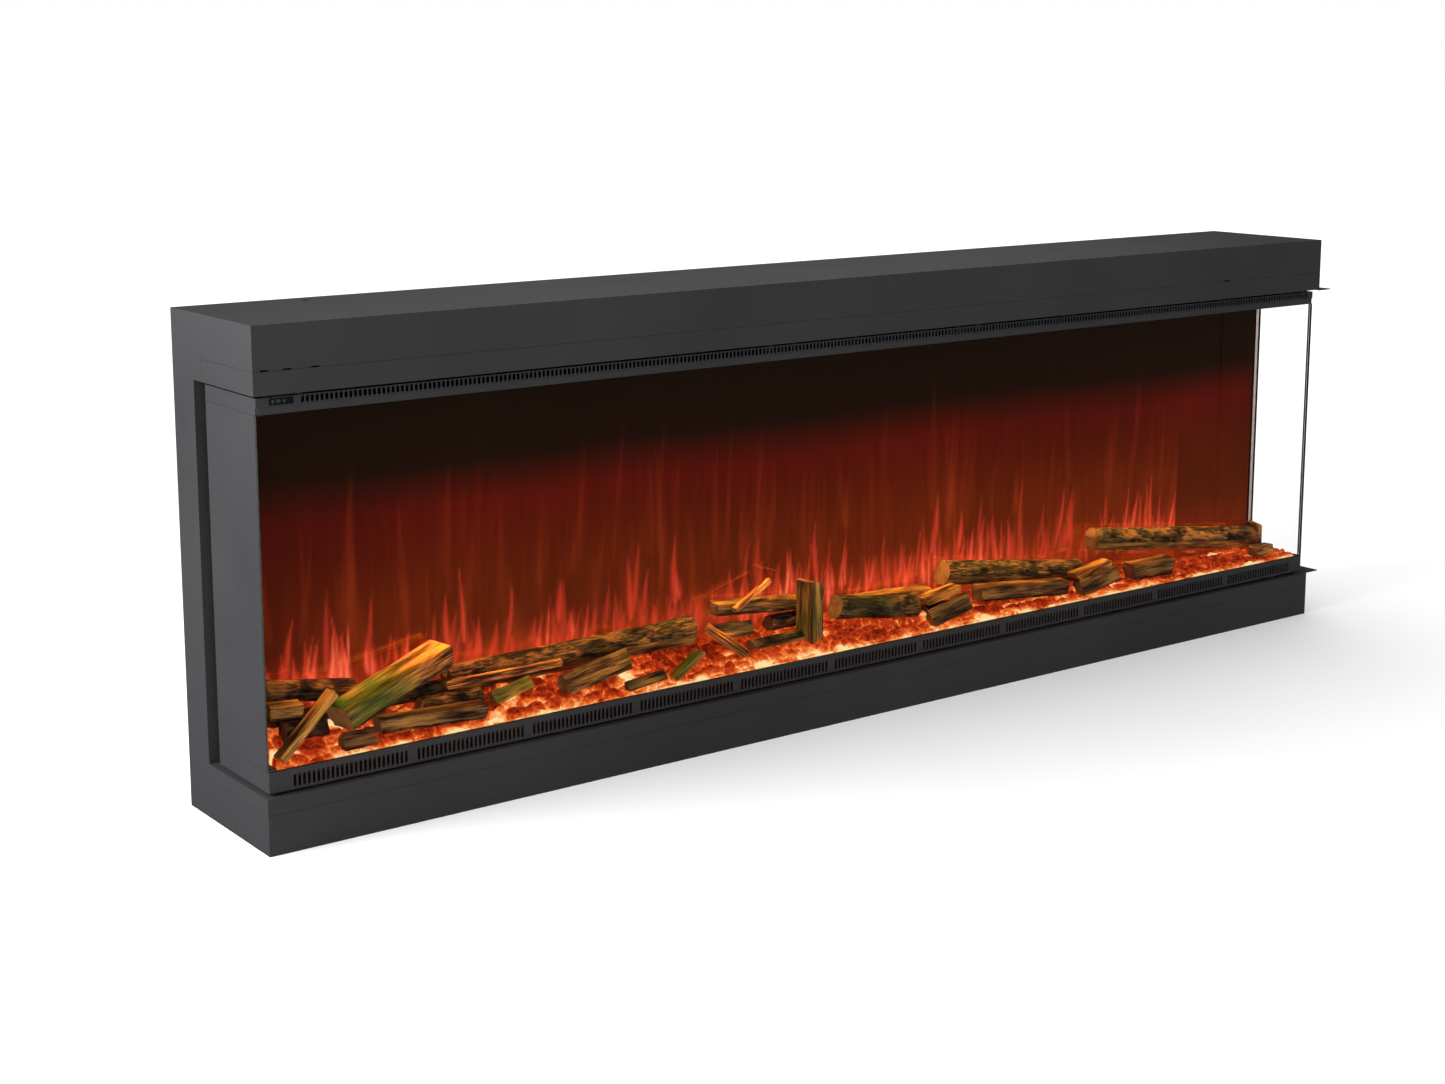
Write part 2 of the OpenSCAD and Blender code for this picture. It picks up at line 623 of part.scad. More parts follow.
// Inlet slots run around the back of the scroll, the outlet faces the slotted band
module blower_housing() color(galvanised) placed() {
    difference() {
        translate([blower_x0 + sheet, 0, 0]) rotate([90, 0, 90])
            linear_extrude(heater_l - 2 * sheet) difference() {
                polygon(duct_outline(0, duct_foot));
                polygon(duct_outline(sheet, duct_foot - 1));
            }
        span([blower_x0 + 8, blower_x1 - 8], [duct_y0 - 1, duct_y0 + sheet + 1],
            [duct_foot - 1, head_z - 2]);
        for (i = [0 : 13])
            translate([blower_x0 + 14 + i * (heater_l - 44) / 13, blower_y + scroll_r - 12, blower_z - 14])
                cube([12, 14, 28]);
    }
    for (x = [blower_x0, blower_x1 - sheet]) difference() {
        side_sheet_at(x, duct_outline(0, duct_foot));
        rod_x([x - 1, blower_y, blower_z], rotor_shaft_r + running_gap, 4);
    }
}

// Cross-flow rotor: end discs, middle discs and a ring of blades on a shaft
blade_count = 20;
module blower_rotor() color(black_plastic) placed() {
    x0 = blower_x0 + sheet + 3;
    x1 = blower_x1 - sheet - 3;
    rod_x([blower_x0 - 6, blower_y, blower_z], rotor_shaft_r, heater_l + 12 + 14);
    for (i = [0 : 4]) rod_x([x0 + i * (x1 - x0 - 2) / 4, blower_y, blower_z], rotor_r, 2);
    for (i = [0 : blade_count - 1])
        translate([x0, blower_y, blower_z]) rotate([i * 360 / blade_count, 0, 0])
            translate([0, rotor_r - 7, -0.5]) cube([x1 - x0, 6, 1]);
}

blower_motor_r = 24;
module blower_motor() color(galvanised) placed() difference() {
    union() {
        rod_x([blower_x1 + 8, blower_y, blower_z], blower_motor_r, 38);
        span([blower_x1 + 20, blower_x1 + 34], [blower_y - 20, blower_y + 20],
            [head_z + sheet, blower_z - blower_motor_r / 2]);
    }
    rod_x([blower_x1 + 7, blower_y, blower_z], rotor_shaft_r + running_gap, 16);
}

// Finned heating bars across the duct
module heater_element() color(copper) placed() {
    z0 = blower_z - scroll_r + sheet + 4;
    z1 = blower_z + scroll_r - sheet - 4;
    y0 = duct_y0 + 14;
    for (z = [z0, (z0 + z1) / 2 - 2, z1 - 4])
        span([blower_x0 + sheet, blower_x1 - sheet], [y0, y0 + 14], [z, z + 4]);
    for (x = [blower_x0 + 8 : 6 : blower_x1 - 8]) span([x, x + 0.8], [y0 + 1, y0 + 13], [z0 + 4, z1 - 4]);
}

module thermal_cutout() color(copper) placed() {
    rod_x([blower_x0 - 3, duct_y0 + 24, blower_z + 14], 9, 3);
    rod_x([blower_x0 - 10, duct_y0 + 24, blower_z + 14], 6, 7);
    for (s = [-4, 4]) span([blower_x0 - 18, blower_x0 - 10], [duct_y0 + 20, duct_y0 + 28],
        [blower_z + 14 + s - 0.4, blower_z + 14 + s + 0.4]);
}

// ---- Electrics ----

// Circuit board on four posts with a row of parts: place, size, then heights of the parts
module board(p, l, w, heights) translate(p) {
    for (x = [6, l - 6], y = [6, w - 6]) rod_z([x, y, 0], 3, 8);
    translate([0, 0, 8]) cube([l, w, 1.6]);
    for (i = [0 : len(heights) - 1])
        translate([14 + i * (l - 28) / len(heights), w * 0.2, 9.6])
            cube([(l - 28) / len(heights) - 4, w * 0.6, heights[i]]);
}
control_board_x0 = 90;
control_board_y0 = recess_y - 100;
module control_board() color(circuit_green) placed()
    board([control_board_x0, control_board_y0, head_z + sheet], 150, 80, [12, 22, 8, 30, 16]);

// Metal case with a terminal shelf at its end
supply_l = 180;
supply_w = 70;
supply_h = 38;
module power_supply() color(galvanised) placed() translate([mid_x + 265, 60, sheet]) {
    cube([supply_l, supply_w, supply_h]);
    translate([supply_l, 0, 0]) cube([14, supply_w, 3]);
    for (i = [0 : 4]) translate([supply_l + 2, 6 + i * 12, 0]) cube([10, 9, 16]);
}

// Three screw terminals on a common foot
pole_pitch = 20;
pole_w = 16;
module terminal_block() color(black_plastic) placed() translate([case_w - 250, rear_y0 - 70, sheet]) {
    cube([3 * pole_pitch, pole_pitch, 10]);
    for (i = [0 : 2]) translate([(i + 0.5) * pole_pitch, pole_pitch / 2, 10]) difference() {
        translate([-pole_w / 2, -pole_pitch / 2, 0]) cube([pole_w, pole_pitch, 12]);
        rod_z([0, 0, 6], 3, 7);
    }
}

// Threaded sleeve with a six-sided head outside and a round nut inside
gland_in = 24;
module cable_gland() color(black_plastic) placed() difference() {
    union() {
        rod_y([gland_x, rear_y0 - gland_in, service_z], gland_bore_r + gland_wall, gland_in + sheet);
        rod_y([gland_x, rear_y0 - 5, service_z], gland_bore_r + gland_head, 5);
        translate([gland_x, rear_y1, service_z]) rotate([-90, 0, 0])
            cylinder(r = gland_bore_r + gland_head, h = rear_inset - 0.2, $fn = 6);
    }
    rod_y([gland_x, rear_y0 - gland_in - 1, service_z], gland_bore_r, gland_in + sheet + rear_inset + 2);
}

// Switch body behind a thin bezel, with two blade tags at the back
switch_in = 16;
tag_l = 8;
tag_t = 0.8;
module mains_switch_frame() color(black_plastic) placed() difference() {
    union() {
        span([switch_x - switch_w / 2, switch_x + switch_w / 2], [rear_y0 - switch_in, rear_y1],
            [service_z - switch_h / 2, service_z + switch_h / 2]);
        span([switch_x - switch_w / 2 - switch_bezel, switch_x + switch_w / 2 + switch_bezel],
            [rear_y1, rear_y1 + 1.2],
            [service_z - switch_h / 2 - switch_bezel, service_z + switch_h / 2 + switch_bezel]);
        for (s = [-5, 5])
            span([switch_x - 3, switch_x + 3], [rear_y0 - switch_in - tag_l, rear_y0 - switch_in],
                [service_z + s - tag_t / 2, service_z + s + tag_t / 2]);
    }
    span([switch_x - rocker_l / 2 - seam, switch_x + rocker_l / 2 + seam],
        [rocker_pivot_y - rocker_r - 1, rear_y1 + 2],
        [service_z - rocker_r - 0.5, service_z + rocker_r + 0.5]);
}

// Rocker: drum about the pivot with two flats that meet in a shallow valley
module mains_rocker() color("#7a1410") placed()
    translate([switch_x - rocker_l / 2, rocker_pivot_y, service_z]) rotate([rocker_tilt, 0, 0]) difference() {
        rod_x([0, 0, 0], rocker_r, rocker_l);
        for (s = [0, 1]) mirror([0, 0, s]) translate([-1, 3.6, 0]) rotate([-12, 0, 0])
            translate([0, 0, -3]) cube([rocker_l + 2, 2 * rocker_r, 2 * rocker_r]);
    }

// ---- Controls ----

button_x0 = window_x0 + 5;
ir_x = window_x0 + window_l - 4;
module control_plate() color(black_plastic) placed() difference() {
    union() {
        span([window_x0 - 2, window_x0 + window_l + 2], [unit_y0 + sheet, plate_y1],
            [window_z - vent_h / 2, window_z + vent_h / 2]);
        rod_y([ir_x, unit_y0 + 0.4, window_z], 1.8, sheet);
    }
    for (i = [0 : 2])
        rod_y([button_x0 + i * button_pitch, unit_y0, window_z], button_r + bore_extra, 4 * sheet);
}

// Push button with a collar that stops it behind the plate
module push_button(i) placed() {
    x = button_x0 + i * button_pitch;
    rod_y([x, unit_y0 + 0.9, window_z], button_r, plate_y1 - unit_y0 + 2.5);
    rod_y([x, plate_y1 + seam, window_z], button_r + 0.8, 1);
}
module power_button() color("#b8b8b8") push_button(0);
module flame_button() color("#b8b8b8") push_button(1);
module heat_button() color("#b8b8b8") push_button(2);

board_y = plate_y1 + 2.5 + button_travel + 2.6;
module button_board() color(circuit_green) placed() {
    span([window_x0 - 2, window_x0 + window_l + 2], [board_y, board_y + 1.6], [vent_z0 - 0.8, unit_z1]);
    for (x = [window_x0 - 2, window_x0 + window_l])
        span([x, x + 2], [plate_y1, board_y], [window_z - 2, window_z + 2]);
    for (i = [0 : 2]) rod_y([button_x0 + i * button_pitch, board_y - 1.2, window_z], 1.5, 1.2);
}

rear_panel();
top_cover();
base_pan();
left_side_sheet();
right_side_sheet();
head_floor();
base_deck();
head_trim();
base_trim();
upper_flange();
lower_flange();
upper_vent_frame();
lower_vent_frame();
glass_top_rail();
left_infill_panel();
front_glass();
right_glass();
firebox_ceiling();
ember_tray();
ember_bed();
screen_channel();
flame_screen();
flame_diffuser();
flame_stencil();
light_box();
flicker_spindle_left();
flicker_spindle_right();
flicker_motor_left();
flicker_motor_right();
spindle_bracket();
spindle_bushes();
flame_led_strip();
ember_led_strip();
downlight_led_strip();
blower_housing();
blower_rotor();
blower_motor();
heater_element();
thermal_cutout();
control_board();
power_supply();
terminal_block();
cable_gland();
mains_switch_frame();
mains_rocker();
control_plate();
button_board();
power_button();
flame_button();
heat_button();
casing_screws();
log_bark_left();
log_split_green();
log_long_dark();
log_dark_end();
log_upright();
log_mossy();
log_curved_bark();
log_right_bark();
kindling();
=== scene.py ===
# %% [markdown]
# # A built-in electric fire
#
# The casing, the glass and every working part come from the CAD frame and stay exactly where it puts
# them. This lesson gives them their finishes, and makes what a plain CAD solid can't show: the split
# logs, the crushed embers and the picture of the flames.
# Lengths are metres, and the origin is on the floor under the middle of the object.

# %% Load the frame
import math

import bpy
import numpy as np
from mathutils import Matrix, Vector


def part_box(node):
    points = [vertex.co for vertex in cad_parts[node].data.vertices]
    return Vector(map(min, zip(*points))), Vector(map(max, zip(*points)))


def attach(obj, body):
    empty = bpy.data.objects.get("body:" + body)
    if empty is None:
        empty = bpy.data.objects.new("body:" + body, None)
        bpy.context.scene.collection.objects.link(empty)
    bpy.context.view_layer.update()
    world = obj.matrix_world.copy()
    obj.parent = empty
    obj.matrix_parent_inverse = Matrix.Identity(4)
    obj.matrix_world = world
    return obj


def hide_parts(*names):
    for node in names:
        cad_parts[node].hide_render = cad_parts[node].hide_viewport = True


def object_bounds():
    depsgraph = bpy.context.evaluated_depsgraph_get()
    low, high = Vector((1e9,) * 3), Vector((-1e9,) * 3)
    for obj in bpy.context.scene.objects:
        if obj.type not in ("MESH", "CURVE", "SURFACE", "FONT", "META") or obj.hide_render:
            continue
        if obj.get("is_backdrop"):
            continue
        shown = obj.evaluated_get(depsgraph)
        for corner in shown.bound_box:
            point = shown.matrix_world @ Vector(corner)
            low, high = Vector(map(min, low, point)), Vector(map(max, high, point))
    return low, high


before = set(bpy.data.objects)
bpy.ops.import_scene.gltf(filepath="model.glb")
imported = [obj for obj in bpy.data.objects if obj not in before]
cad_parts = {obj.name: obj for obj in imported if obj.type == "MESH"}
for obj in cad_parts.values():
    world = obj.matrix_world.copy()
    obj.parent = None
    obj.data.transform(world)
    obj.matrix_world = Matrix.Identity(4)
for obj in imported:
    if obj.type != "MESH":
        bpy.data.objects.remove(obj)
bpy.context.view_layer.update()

MM = 0.001

# %% [markdown]
# ## Small tools
#
# Colours are written as screen colours, because that is how a maker reads them off a paint card. Cycles
# works with linear light, so one function turns them. A second function adds a shader node, because a
# material is then a short list of nodes that reads from the pattern to the surface.


# %% Colour and node tools
def paint(hex_code):
    """Linear RGBA of an sRGB hex: a straight line near black, and a power of 2.4 above it."""
    srgb = np.array([int(hex_code[i:i + 2], 16) for i in (1, 3, 5)]) / 255
    linear = np.where(srgb <= 0.04045, srgb / 12.92, ((srgb + 0.055) / 1.055) ** 2.4)
    return (*linear.tolist(), 1.0)


def add(tree, kind, inputs=None, stops=None, **settings):
    """Adds one node. Inputs are values or sockets to link, and stops are a ramp's places and colours."""
    made = tree.nodes.new("ShaderNode" + kind)
    for name, value in settings.items():
        setattr(made, name, value)
    for name, value in (inputs or {}).items():
        if isinstance(value, bpy.types.NodeSocket):
            tree.links.new(value, made.inputs[name])
        else:
            made.inputs[name].default_value = value
    if stops:
        ramp = made.color_ramp
        while len(ramp.elements) < len(stops):
            ramp.elements.new(0.5)
        for element, (place, hex_code) in zip(ramp.elements, stops):
            element.position = place
            element.color = paint(hex_code)
    return made


def start(name, **sockets):
    """A new material with one Principled shader, whose sockets are set by their names."""
    material = bpy.data.materials.new(name)
    material.use_nodes = True
    tree = material.node_tree
    tree.nodes.clear()
    shader = add(tree, "BsdfPrincipled", {k.replace("_", " "): v for k, v in sockets.items()})
    add(tree, "OutputMaterial", {"Surface": shader.outputs[0]})
    return material, tree, shader


def grain(tree, size_mm, stretch=(1, 1, 1), detail=3.0, source="Object", rough=0.5):
    """Noise socket with grains size_mm across. stretch above 1 on an axis makes them that much shorter."""
    coords = add(tree, "TexCoord")
    place = add(tree, "Mapping", {"Vector": coords.outputs[source], "Scale": stretch})
    sockets = {"Vector": place.outputs[0], "Scale": 1 / (size_mm * MM), "Detail": detail, "Roughness": rough}
    return add(tree, "TexNoise", sockets).outputs["Fac"]


def wire(tree, shader, colour=None, roughness=None, height=None, depth_mm=0.1):
    """Links a colour, a roughness and a bump of depth_mm to a shader."""
    if colour is not None:
        tree.links.new(colour, shader.inputs["Base Color"])
    if roughness is not None:
        tree.links.new(roughness, shader.inputs["Roughness"])
    if height is not None:
        bump = add(tree, "Bump", {"Height": height, "Distance": depth_mm * MM})
        tree.links.new(bump.outputs[0], shader.inputs["Normal"])


# %% [markdown]
# ## Camera, floor and light
#
# A product stands on a pale floor with a low camera off its left front corner, so that the closed left
# side, the glazed front and the clear right end all show. The soft light is mostly the white room. A
# box light on the left makes the left side paler than the front, as in a studio, and a weak light above
# and behind lifts the top. Reflections see a darker room than the floor does, so that the glass stays
# clear and the coating stays dark.

# %% Camera
casing_low, casing_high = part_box("left_side_sheet")
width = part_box("right_side_sheet")[1].x - casing_low.x
turn, tip = math.radians(36.78), math.radians(9.73)
left_of_casing, ahead_of_casing, above_floor = 0.5507, 1.2071, 0.4956  # shares of the casing's width
eye = Vector((casing_low.x - left_of_casing * width, casing_low.y - ahead_of_casing * width,
              above_floor * width))

camera = bpy.data.objects.new("camera", bpy.data.cameras.new("camera"))
bpy.context.scene.collection.objects.link(camera)
camera.location = eye
camera.rotation_euler = (math.pi / 2 - tip, 0, -turn)
camera.data.sensor_width = 36
camera.data.lens = 54.49
camera.data.shift_y = -0.081
bpy.context.scene.camera = camera
bpy.context.scene.view_settings.view_transform = "Standard"
print("camera at", [round(v, 3) for v in eye])


# %% Floor and room light
def rectangle(name, centre, half_x, half_y):
    """A flat rectangle that faces up."""
    corners = np.array([(-1, -1), (1, -1), (1, 1), (-1, 1)]) * (half_x, half_y)
    mesh = bpy.data.meshes.new(name)
    mesh.from_pydata([(centre[0] + x, centre[1] + y, centre[2]) for x, y in corners], [], [(0, 1, 2, 3)])
    made = bpy.data.objects.new(name, mesh)
    bpy.context.scene.collection.objects.link(made)
    return made


FLOOR_HALF = 40
floor = rectangle("floor", (0, 0, 0), FLOOR_HALF, FLOOR_HALF)
floor_paint, tree, shader = start("matt white floor paint", Roughness=0.9, Specular_IOR_Level=0.1)
speckle = add(tree, "ValToRGB", {"Fac": grain(tree, 400)}, stops=[(0.3, "#f8f8f8"), (0.7, "#fbfbfb")])
wire(tree, shader, colour=speckle.outputs[0])
place = add(tree, "TexCoord")
away = add(tree, "VectorMath", {0: place.outputs["Object"]}, operation="LENGTH")
lit = add(tree, "MapRange", {"Value": away.outputs["Value"], "From Min": 1.3, "From Max": 3.5,
                             "To Max": 0.35}, interpolation_type="SMOOTHSTEP")
shader.inputs["Emission Color"].default_value = (1, 1, 1, 1)
tree.links.new(lit.outputs[0], shader.inputs["Emission Strength"])
floor.data.materials.append(floor_paint)
floor.visible_glossy = False
floor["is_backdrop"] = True

world = bpy.data.worlds.new("white room")
bpy.context.scene.world = world
world.use_nodes = True
tree = world.node_tree
tree.nodes.clear()
ray = add(tree, "LightPath")
dim = add(tree, "MapRange", {"Value": ray.outputs["Is Glossy Ray"], "To Min": 1.0, "To Max": 0.03})
sky = add(tree, "Background", {"Color": (1, 1, 1, 1), "Strength": dim.outputs[0]})
add(tree, "OutputWorld", {"Surface": sky.outputs[0]})


def area_light(name, place, aim, size, power, hex_code="#ffffff"):
    """A rectangular light at place that faces aim. The camera doesn't see it."""
    lamp = bpy.data.objects.new(name, bpy.data.lights.new(name, "AREA"))
    bpy.context.scene.collection.objects.link(lamp)
    lamp.data.shape = "RECTANGLE"
    lamp.data.size, lamp.data.size_y = size
    lamp.data.energy = power
    lamp.data.color = paint(hex_code)[:3]
    lamp.location = place
    lamp.rotation_euler = (Vector(aim) - Vector(place)).to_track_quat("-Z", "Y").to_euler()
    lamp.visible_camera = False
    return lamp


area_light("left box light", (-2.5, 0.15, 1.25), (-0.9, 0, 0.45), (1.5, 1.1), 74)
area_light("overhead light", (1.2, 1.5, 2.2), (0.9, 0.05, 0.6), (2.6, 1.2), 11)

# %% [markdown]
# ## Finishes of the casing and the works
#
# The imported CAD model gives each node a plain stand-in, named after its material slot. Each slot gets
# one finish here, made from what the real material is. A pattern's size comes from the real grain, in
# millimetres, and one that is too fine to see is drawn as coarse as it needs to be.
#
# The casing is sheet steel with a fine-textured polyester powder coat. Its grit is under half a
# millimetre, so only a slight broad mottle and a soft sheen reach the eye from across a room.


# %% Powder-coated steel
def powder_coat(name, dark, pale, roughness=(0.46, 0.60)):
    """Fine grit for the bump, a broad mottle for colour, and cloudy gloss. The eye gets a dry, dark sheen."""
    material, tree, shader = start(name, Specular_IOR_Level=0.5)
    mottle = add(tree, "ValToRGB", {"Fac": grain(tree, 260, detail=4)}, stops=[(0.35, dark), (0.65, pale)])
    gloss = add(tree, "MapRange", {"Value": grain(tree, 90), "To Min": roughness[0], "To Max": roughness[1]})
    wire(tree, shader, mottle.outputs[0], gloss.outputs[0], grain(tree, 1.4, detail=2), 0.06)
    return material


finishes = {"powder_coat": powder_coat("black powder coat, fine texture", "#2d2d2f", "#313133"),
            "black_enamel": powder_coat("matt black stove enamel", "#0d0c0c", "#131211", (0.7, 0.85))}


# %% [markdown]
# Bare metals keep the default IOR, because their colour is what they reflect. Zinc-plated sheet shows a
# pale blotchy spangle, foil shows soft creases, heater alloy is browned by heat, and the sintered bronze
# of the bushes has fine pores.


# %% Bare metals
def metal(name, dark, pale, grain_mm, stretch, roughness, depth_mm):
    """Metal whose colour and gloss both follow one stretched noise."""
    material, tree, shader = start(name, Metallic=1.0)
    pattern = grain(tree, grain_mm, stretch, detail=4)
    colour = add(tree, "ValToRGB", {"Fac": pattern}, stops=[(0.3, dark), (0.7, pale)])
    gloss = add(tree, "MapRange", {"Value": pattern, "To Min": roughness[0], "To Max": roughness[1]})
    wire(tree, shader, colour.outputs[0], gloss.outputs[0], grain(tree, grain_mm / 4, stretch), depth_mm)
    return material


for slot_name, *finish in (
        ("zinc_steel", "zinc-plated sheet steel", "#8f9699", "#b4babd", 14, (1, 1, 1), (0.32, 0.5), 0.05),
        ("reflector_foil", "bright aluminium foil", "#c6c9cc", "#e2e4e6", 6, (0.2, 1, 1), (0.15, 0.3), 0.2),
        ("heater_alloy", "heat-browned finned alloy", "#6e6157", "#9c9086", 5, (1, 1, 0.2), (0.35, 0.55),
         0.1),
        ("bronze", "sintered bronze", "#8c5f2d", "#b98743", 1.2, (1, 1, 1), (0.4, 0.6), 0.08)):
    finishes[slot_name] = metal(*finish)


# %% [markdown]
# The small electrical parts are moulded plastic with a spark-eroded texture, and green glass-fibre
# laminate with a woven look under its lacquer. The lacquer is why the boards catch a sharp highlight.

# %% Plastics and circuit laminate
def moulded(name, dark, pale, roughness, texture_mm=0.8):
    """Moulded plastic: an even colour with slight flow marks and a fine eroded texture."""
    material, tree, shader = start(name, IOR=1.5, Specular_IOR_Level=0.45)
    colour = add(tree, "ValToRGB", {"Fac": grain(tree, 22)}, stops=[(0.35, dark), (0.65, pale)])
    gloss = add(tree, "MapRange", {"Value": grain(tree, 6), "To Min": roughness - 0.06,
                                   "To Max": roughness + 0.06})
    wire(tree, shader, colour.outputs[0], gloss.outputs[0], grain(tree, texture_mm, detail=1), 0.05)
    return material


finishes["black_plastic"] = moulded("black glass-filled nylon", "#101010", "#191919", 0.5)
finishes["button_plastic"] = moulded("dark grey ABS button", "#2c2d2e", "#3a3b3c", 0.35)
finishes["rocker_plastic"] = moulded("red ABS rocker", "#5e0f0c", "#78150f", 0.3)

laminate, tree, shader = start("green glass-fibre laminate", Coat_Weight=0.6, Coat_Roughness=0.1,
                               Roughness=0.5)
weave_place = add(tree, "TexCoord")
weave = add(tree, "TexWave", {"Vector": weave_place.outputs["Object"], "Scale": 420.0, "Distortion": 0.6})
colour = add(tree, "ValToRGB", {"Fac": weave.outputs["Fac"]}, stops=[(0.2, "#12422a"), (0.8, "#1d6b42")])
wire(tree, shader, colour=colour.outputs[0], height=weave.outputs["Fac"], depth_mm=0.05)
finishes["circuit_laminate"] = laminate

# %% [markdown]
# ## Glass
#
# The panes are 4 mm toughened glass with ground edges. Through a pane the eye sees the fire unbent, so a
# clear shader with a thin mirror over it is enough, and it lets lamps through, which solid glass doesn't.
# The ground edge scatters light and looks almost black against a white room. The edge is picked out by
# the direction that a face points in.
#
# The flame screen is smoked glass with a half-silvered face. It shows the flame picture behind it and,
# faintly, the logs in front of it.


# %% Clear glass and the half mirror
def pane(name, tint, mirror_at, edge_hex, axis, mirror_hex="#ffffff"):
    """Clear shader and mirror shader mixed by mirror_at (a socket maker). Faces whose normal has less
    than half its length along axis, the pane's own normal, are the ground edge."""
    material = bpy.data.materials.new(name)
    material.use_nodes = True
    tree = material.node_tree
    tree.nodes.clear()
    clear = add(tree, "BsdfTransparent", {"Color": paint(tint)})
    shine = add(tree, "BsdfGlossy", {"Color": paint(mirror_hex), "Roughness": 0.0})
    sheet = add(tree, "MixShader", {0: mirror_at(tree), 1: clear.outputs[0], 2: shine.outputs[0]})
    ground = add(tree, "BsdfPrincipled", {"Roughness": 0.45, "Base Color": paint(edge_hex)})
    grit = add(tree, "ValToRGB", {"Fac": grain(tree, 3)}, stops=[(0.3, edge_hex), (0.7, "#2c3632")])
    wire(tree, ground, colour=grit.outputs[0], height=grain(tree, 1), depth_mm=0.1)
    way = add(tree, "NewGeometry")
    apart = add(tree, "SeparateXYZ", {0: way.outputs["True Normal"]})
    size = add(tree, "Math", {0: apart.outputs[axis]}, operation="ABSOLUTE")
    edge = add(tree, "Math", {0: size.outputs[0], 1: 0.5}, operation="LESS_THAN")
    whole = add(tree, "MixShader", {0: edge.outputs[0], 1: sheet.outputs[0], 2: ground.outputs[0]})
    add(tree, "OutputMaterial", {"Surface": whole.outputs[0]})
    return material


def thin_coating(tree):
    """Mirror share of anti-reflection glass: a Fresnel curve with a low index, smudged a little."""
    fresnel = add(tree, "Fresnel", {"IOR": 1.16})
    smear = add(tree, "MapRange", {"Value": grain(tree, 220, detail=2), "To Min": 0.8, "To Max": 1.2})
    return add(tree, "Math", {0: fresnel.outputs[0], 1: smear.outputs[0]}, operation="MULTIPLY").outputs[0]


def half_silver(tree):
    """Mirror share of the half-silvered face, a little uneven as sputtered coatings are."""
    cloud = add(tree, "MapRange", {"Value": grain(tree, 160), "To Min": 0.24, "To Max": 0.30})
    return cloud.outputs[0]


X_AXIS, Y_AXIS = 0, 1
panes = {"front_glass": pane("clear toughened glass, front", "#fefefe", thin_coating, "#0b0f0d", Y_AXIS),
         "right_glass": pane("clear toughened glass, end", "#fefefe", thin_coating, "#0b0f0d", X_AXIS),
         "flame_screen": pane("smoked half-mirror glass", "#e6dcd6", half_silver, "#140a06", Y_AXIS,
                              "#e0a884")}

# %% [markdown]
# ## Lit plastic
#
# The ember tray is opal acrylic, lit from below. Light leaves all of its upper face, a little uneven
# because the light sources sit in rows. It is a glowing surface with a soft gloss. The diffuser is opal
# too, and gets the flame picture further on.

# %% Opal acrylic
opal, tree, shader = start("opal acrylic, lit from below", Roughness=0.3, Emission_Strength=1.0)
rows = add(tree, "ValToRGB", {"Fac": grain(tree, 45, detail=1)}, stops=[(0.3, "#d8622c"), (0.7, "#ffa765")])
way = add(tree, "NewGeometry")
facing = add(tree, "SeparateXYZ", {0: way.outputs["True Normal"]})
upward = add(tree, "Math", {0: facing.outputs[2], 1: 0.5}, operation="GREATER_THAN")
tree.links.new(upward.outputs[0], shader.inputs["Emission Strength"])
tree.links.new(rows.outputs[0], shader.inputs["Emission Color"])
wire(tree, shader, colour=rows.outputs[0], height=grain(tree, 2), depth_mm=0.05)
finishes["opal_acrylic"] = opal

# %% Give every CAD node its finish
for name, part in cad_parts.items():
    slot_name = part.data.materials[0].name.split(".")[0]
    finish = panes.get(name, finishes.get(slot_name))
    if finish is not None:
        part.material_slots[0].link = "OBJECT"
        part.material_slots[0].material = finish
print("finishes given to", len(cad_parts), "CAD nodes")

# %% [markdown]
# ## Noise and mesh tools
#
# Bark, splinters and crushed embers are all uneven in their own way. Each is a height added to a smooth
# form, and each height comes from one kind of noise: random numbers on a lattice, joined by a smooth
# curve. Whole grids are worked out at once with numpy, and a mesh tool turns a grid of points into faces.


# %% Lattice noise
def lattice(u, v, seed, wrap=0):
    """Random heights from -1 to 1 at whole numbers of u and v, blended with 3t^2 - 2t^3 between them.
    With wrap, v repeats after that many cells, so that the noise closes round a log."""
    table = np.random.default_rng(seed).uniform(-1, 1, (128, 128))
    iu, iv = np.floor(u).astype(int), np.floor(v).astype(int)
    fu, fv = u - iu, v - iv
    fu, fv = fu * fu * (3 - 2 * fu), fv * fv * (3 - 2 * fv)
    jv = (iv + 1) % wrap if wrap else iv + 1
    iv = iv % wrap if wrap else iv
    low = table[iu % 128, iv % 128] * (1 - fu) + table[(iu + 1) % 128, iv % 128] * fu
    high = table[iu % 128, jv % 128] * (1 - fu) + table[(iu + 1) % 128, jv % 128] * fu
    return low * (1 - fv) + high * fv


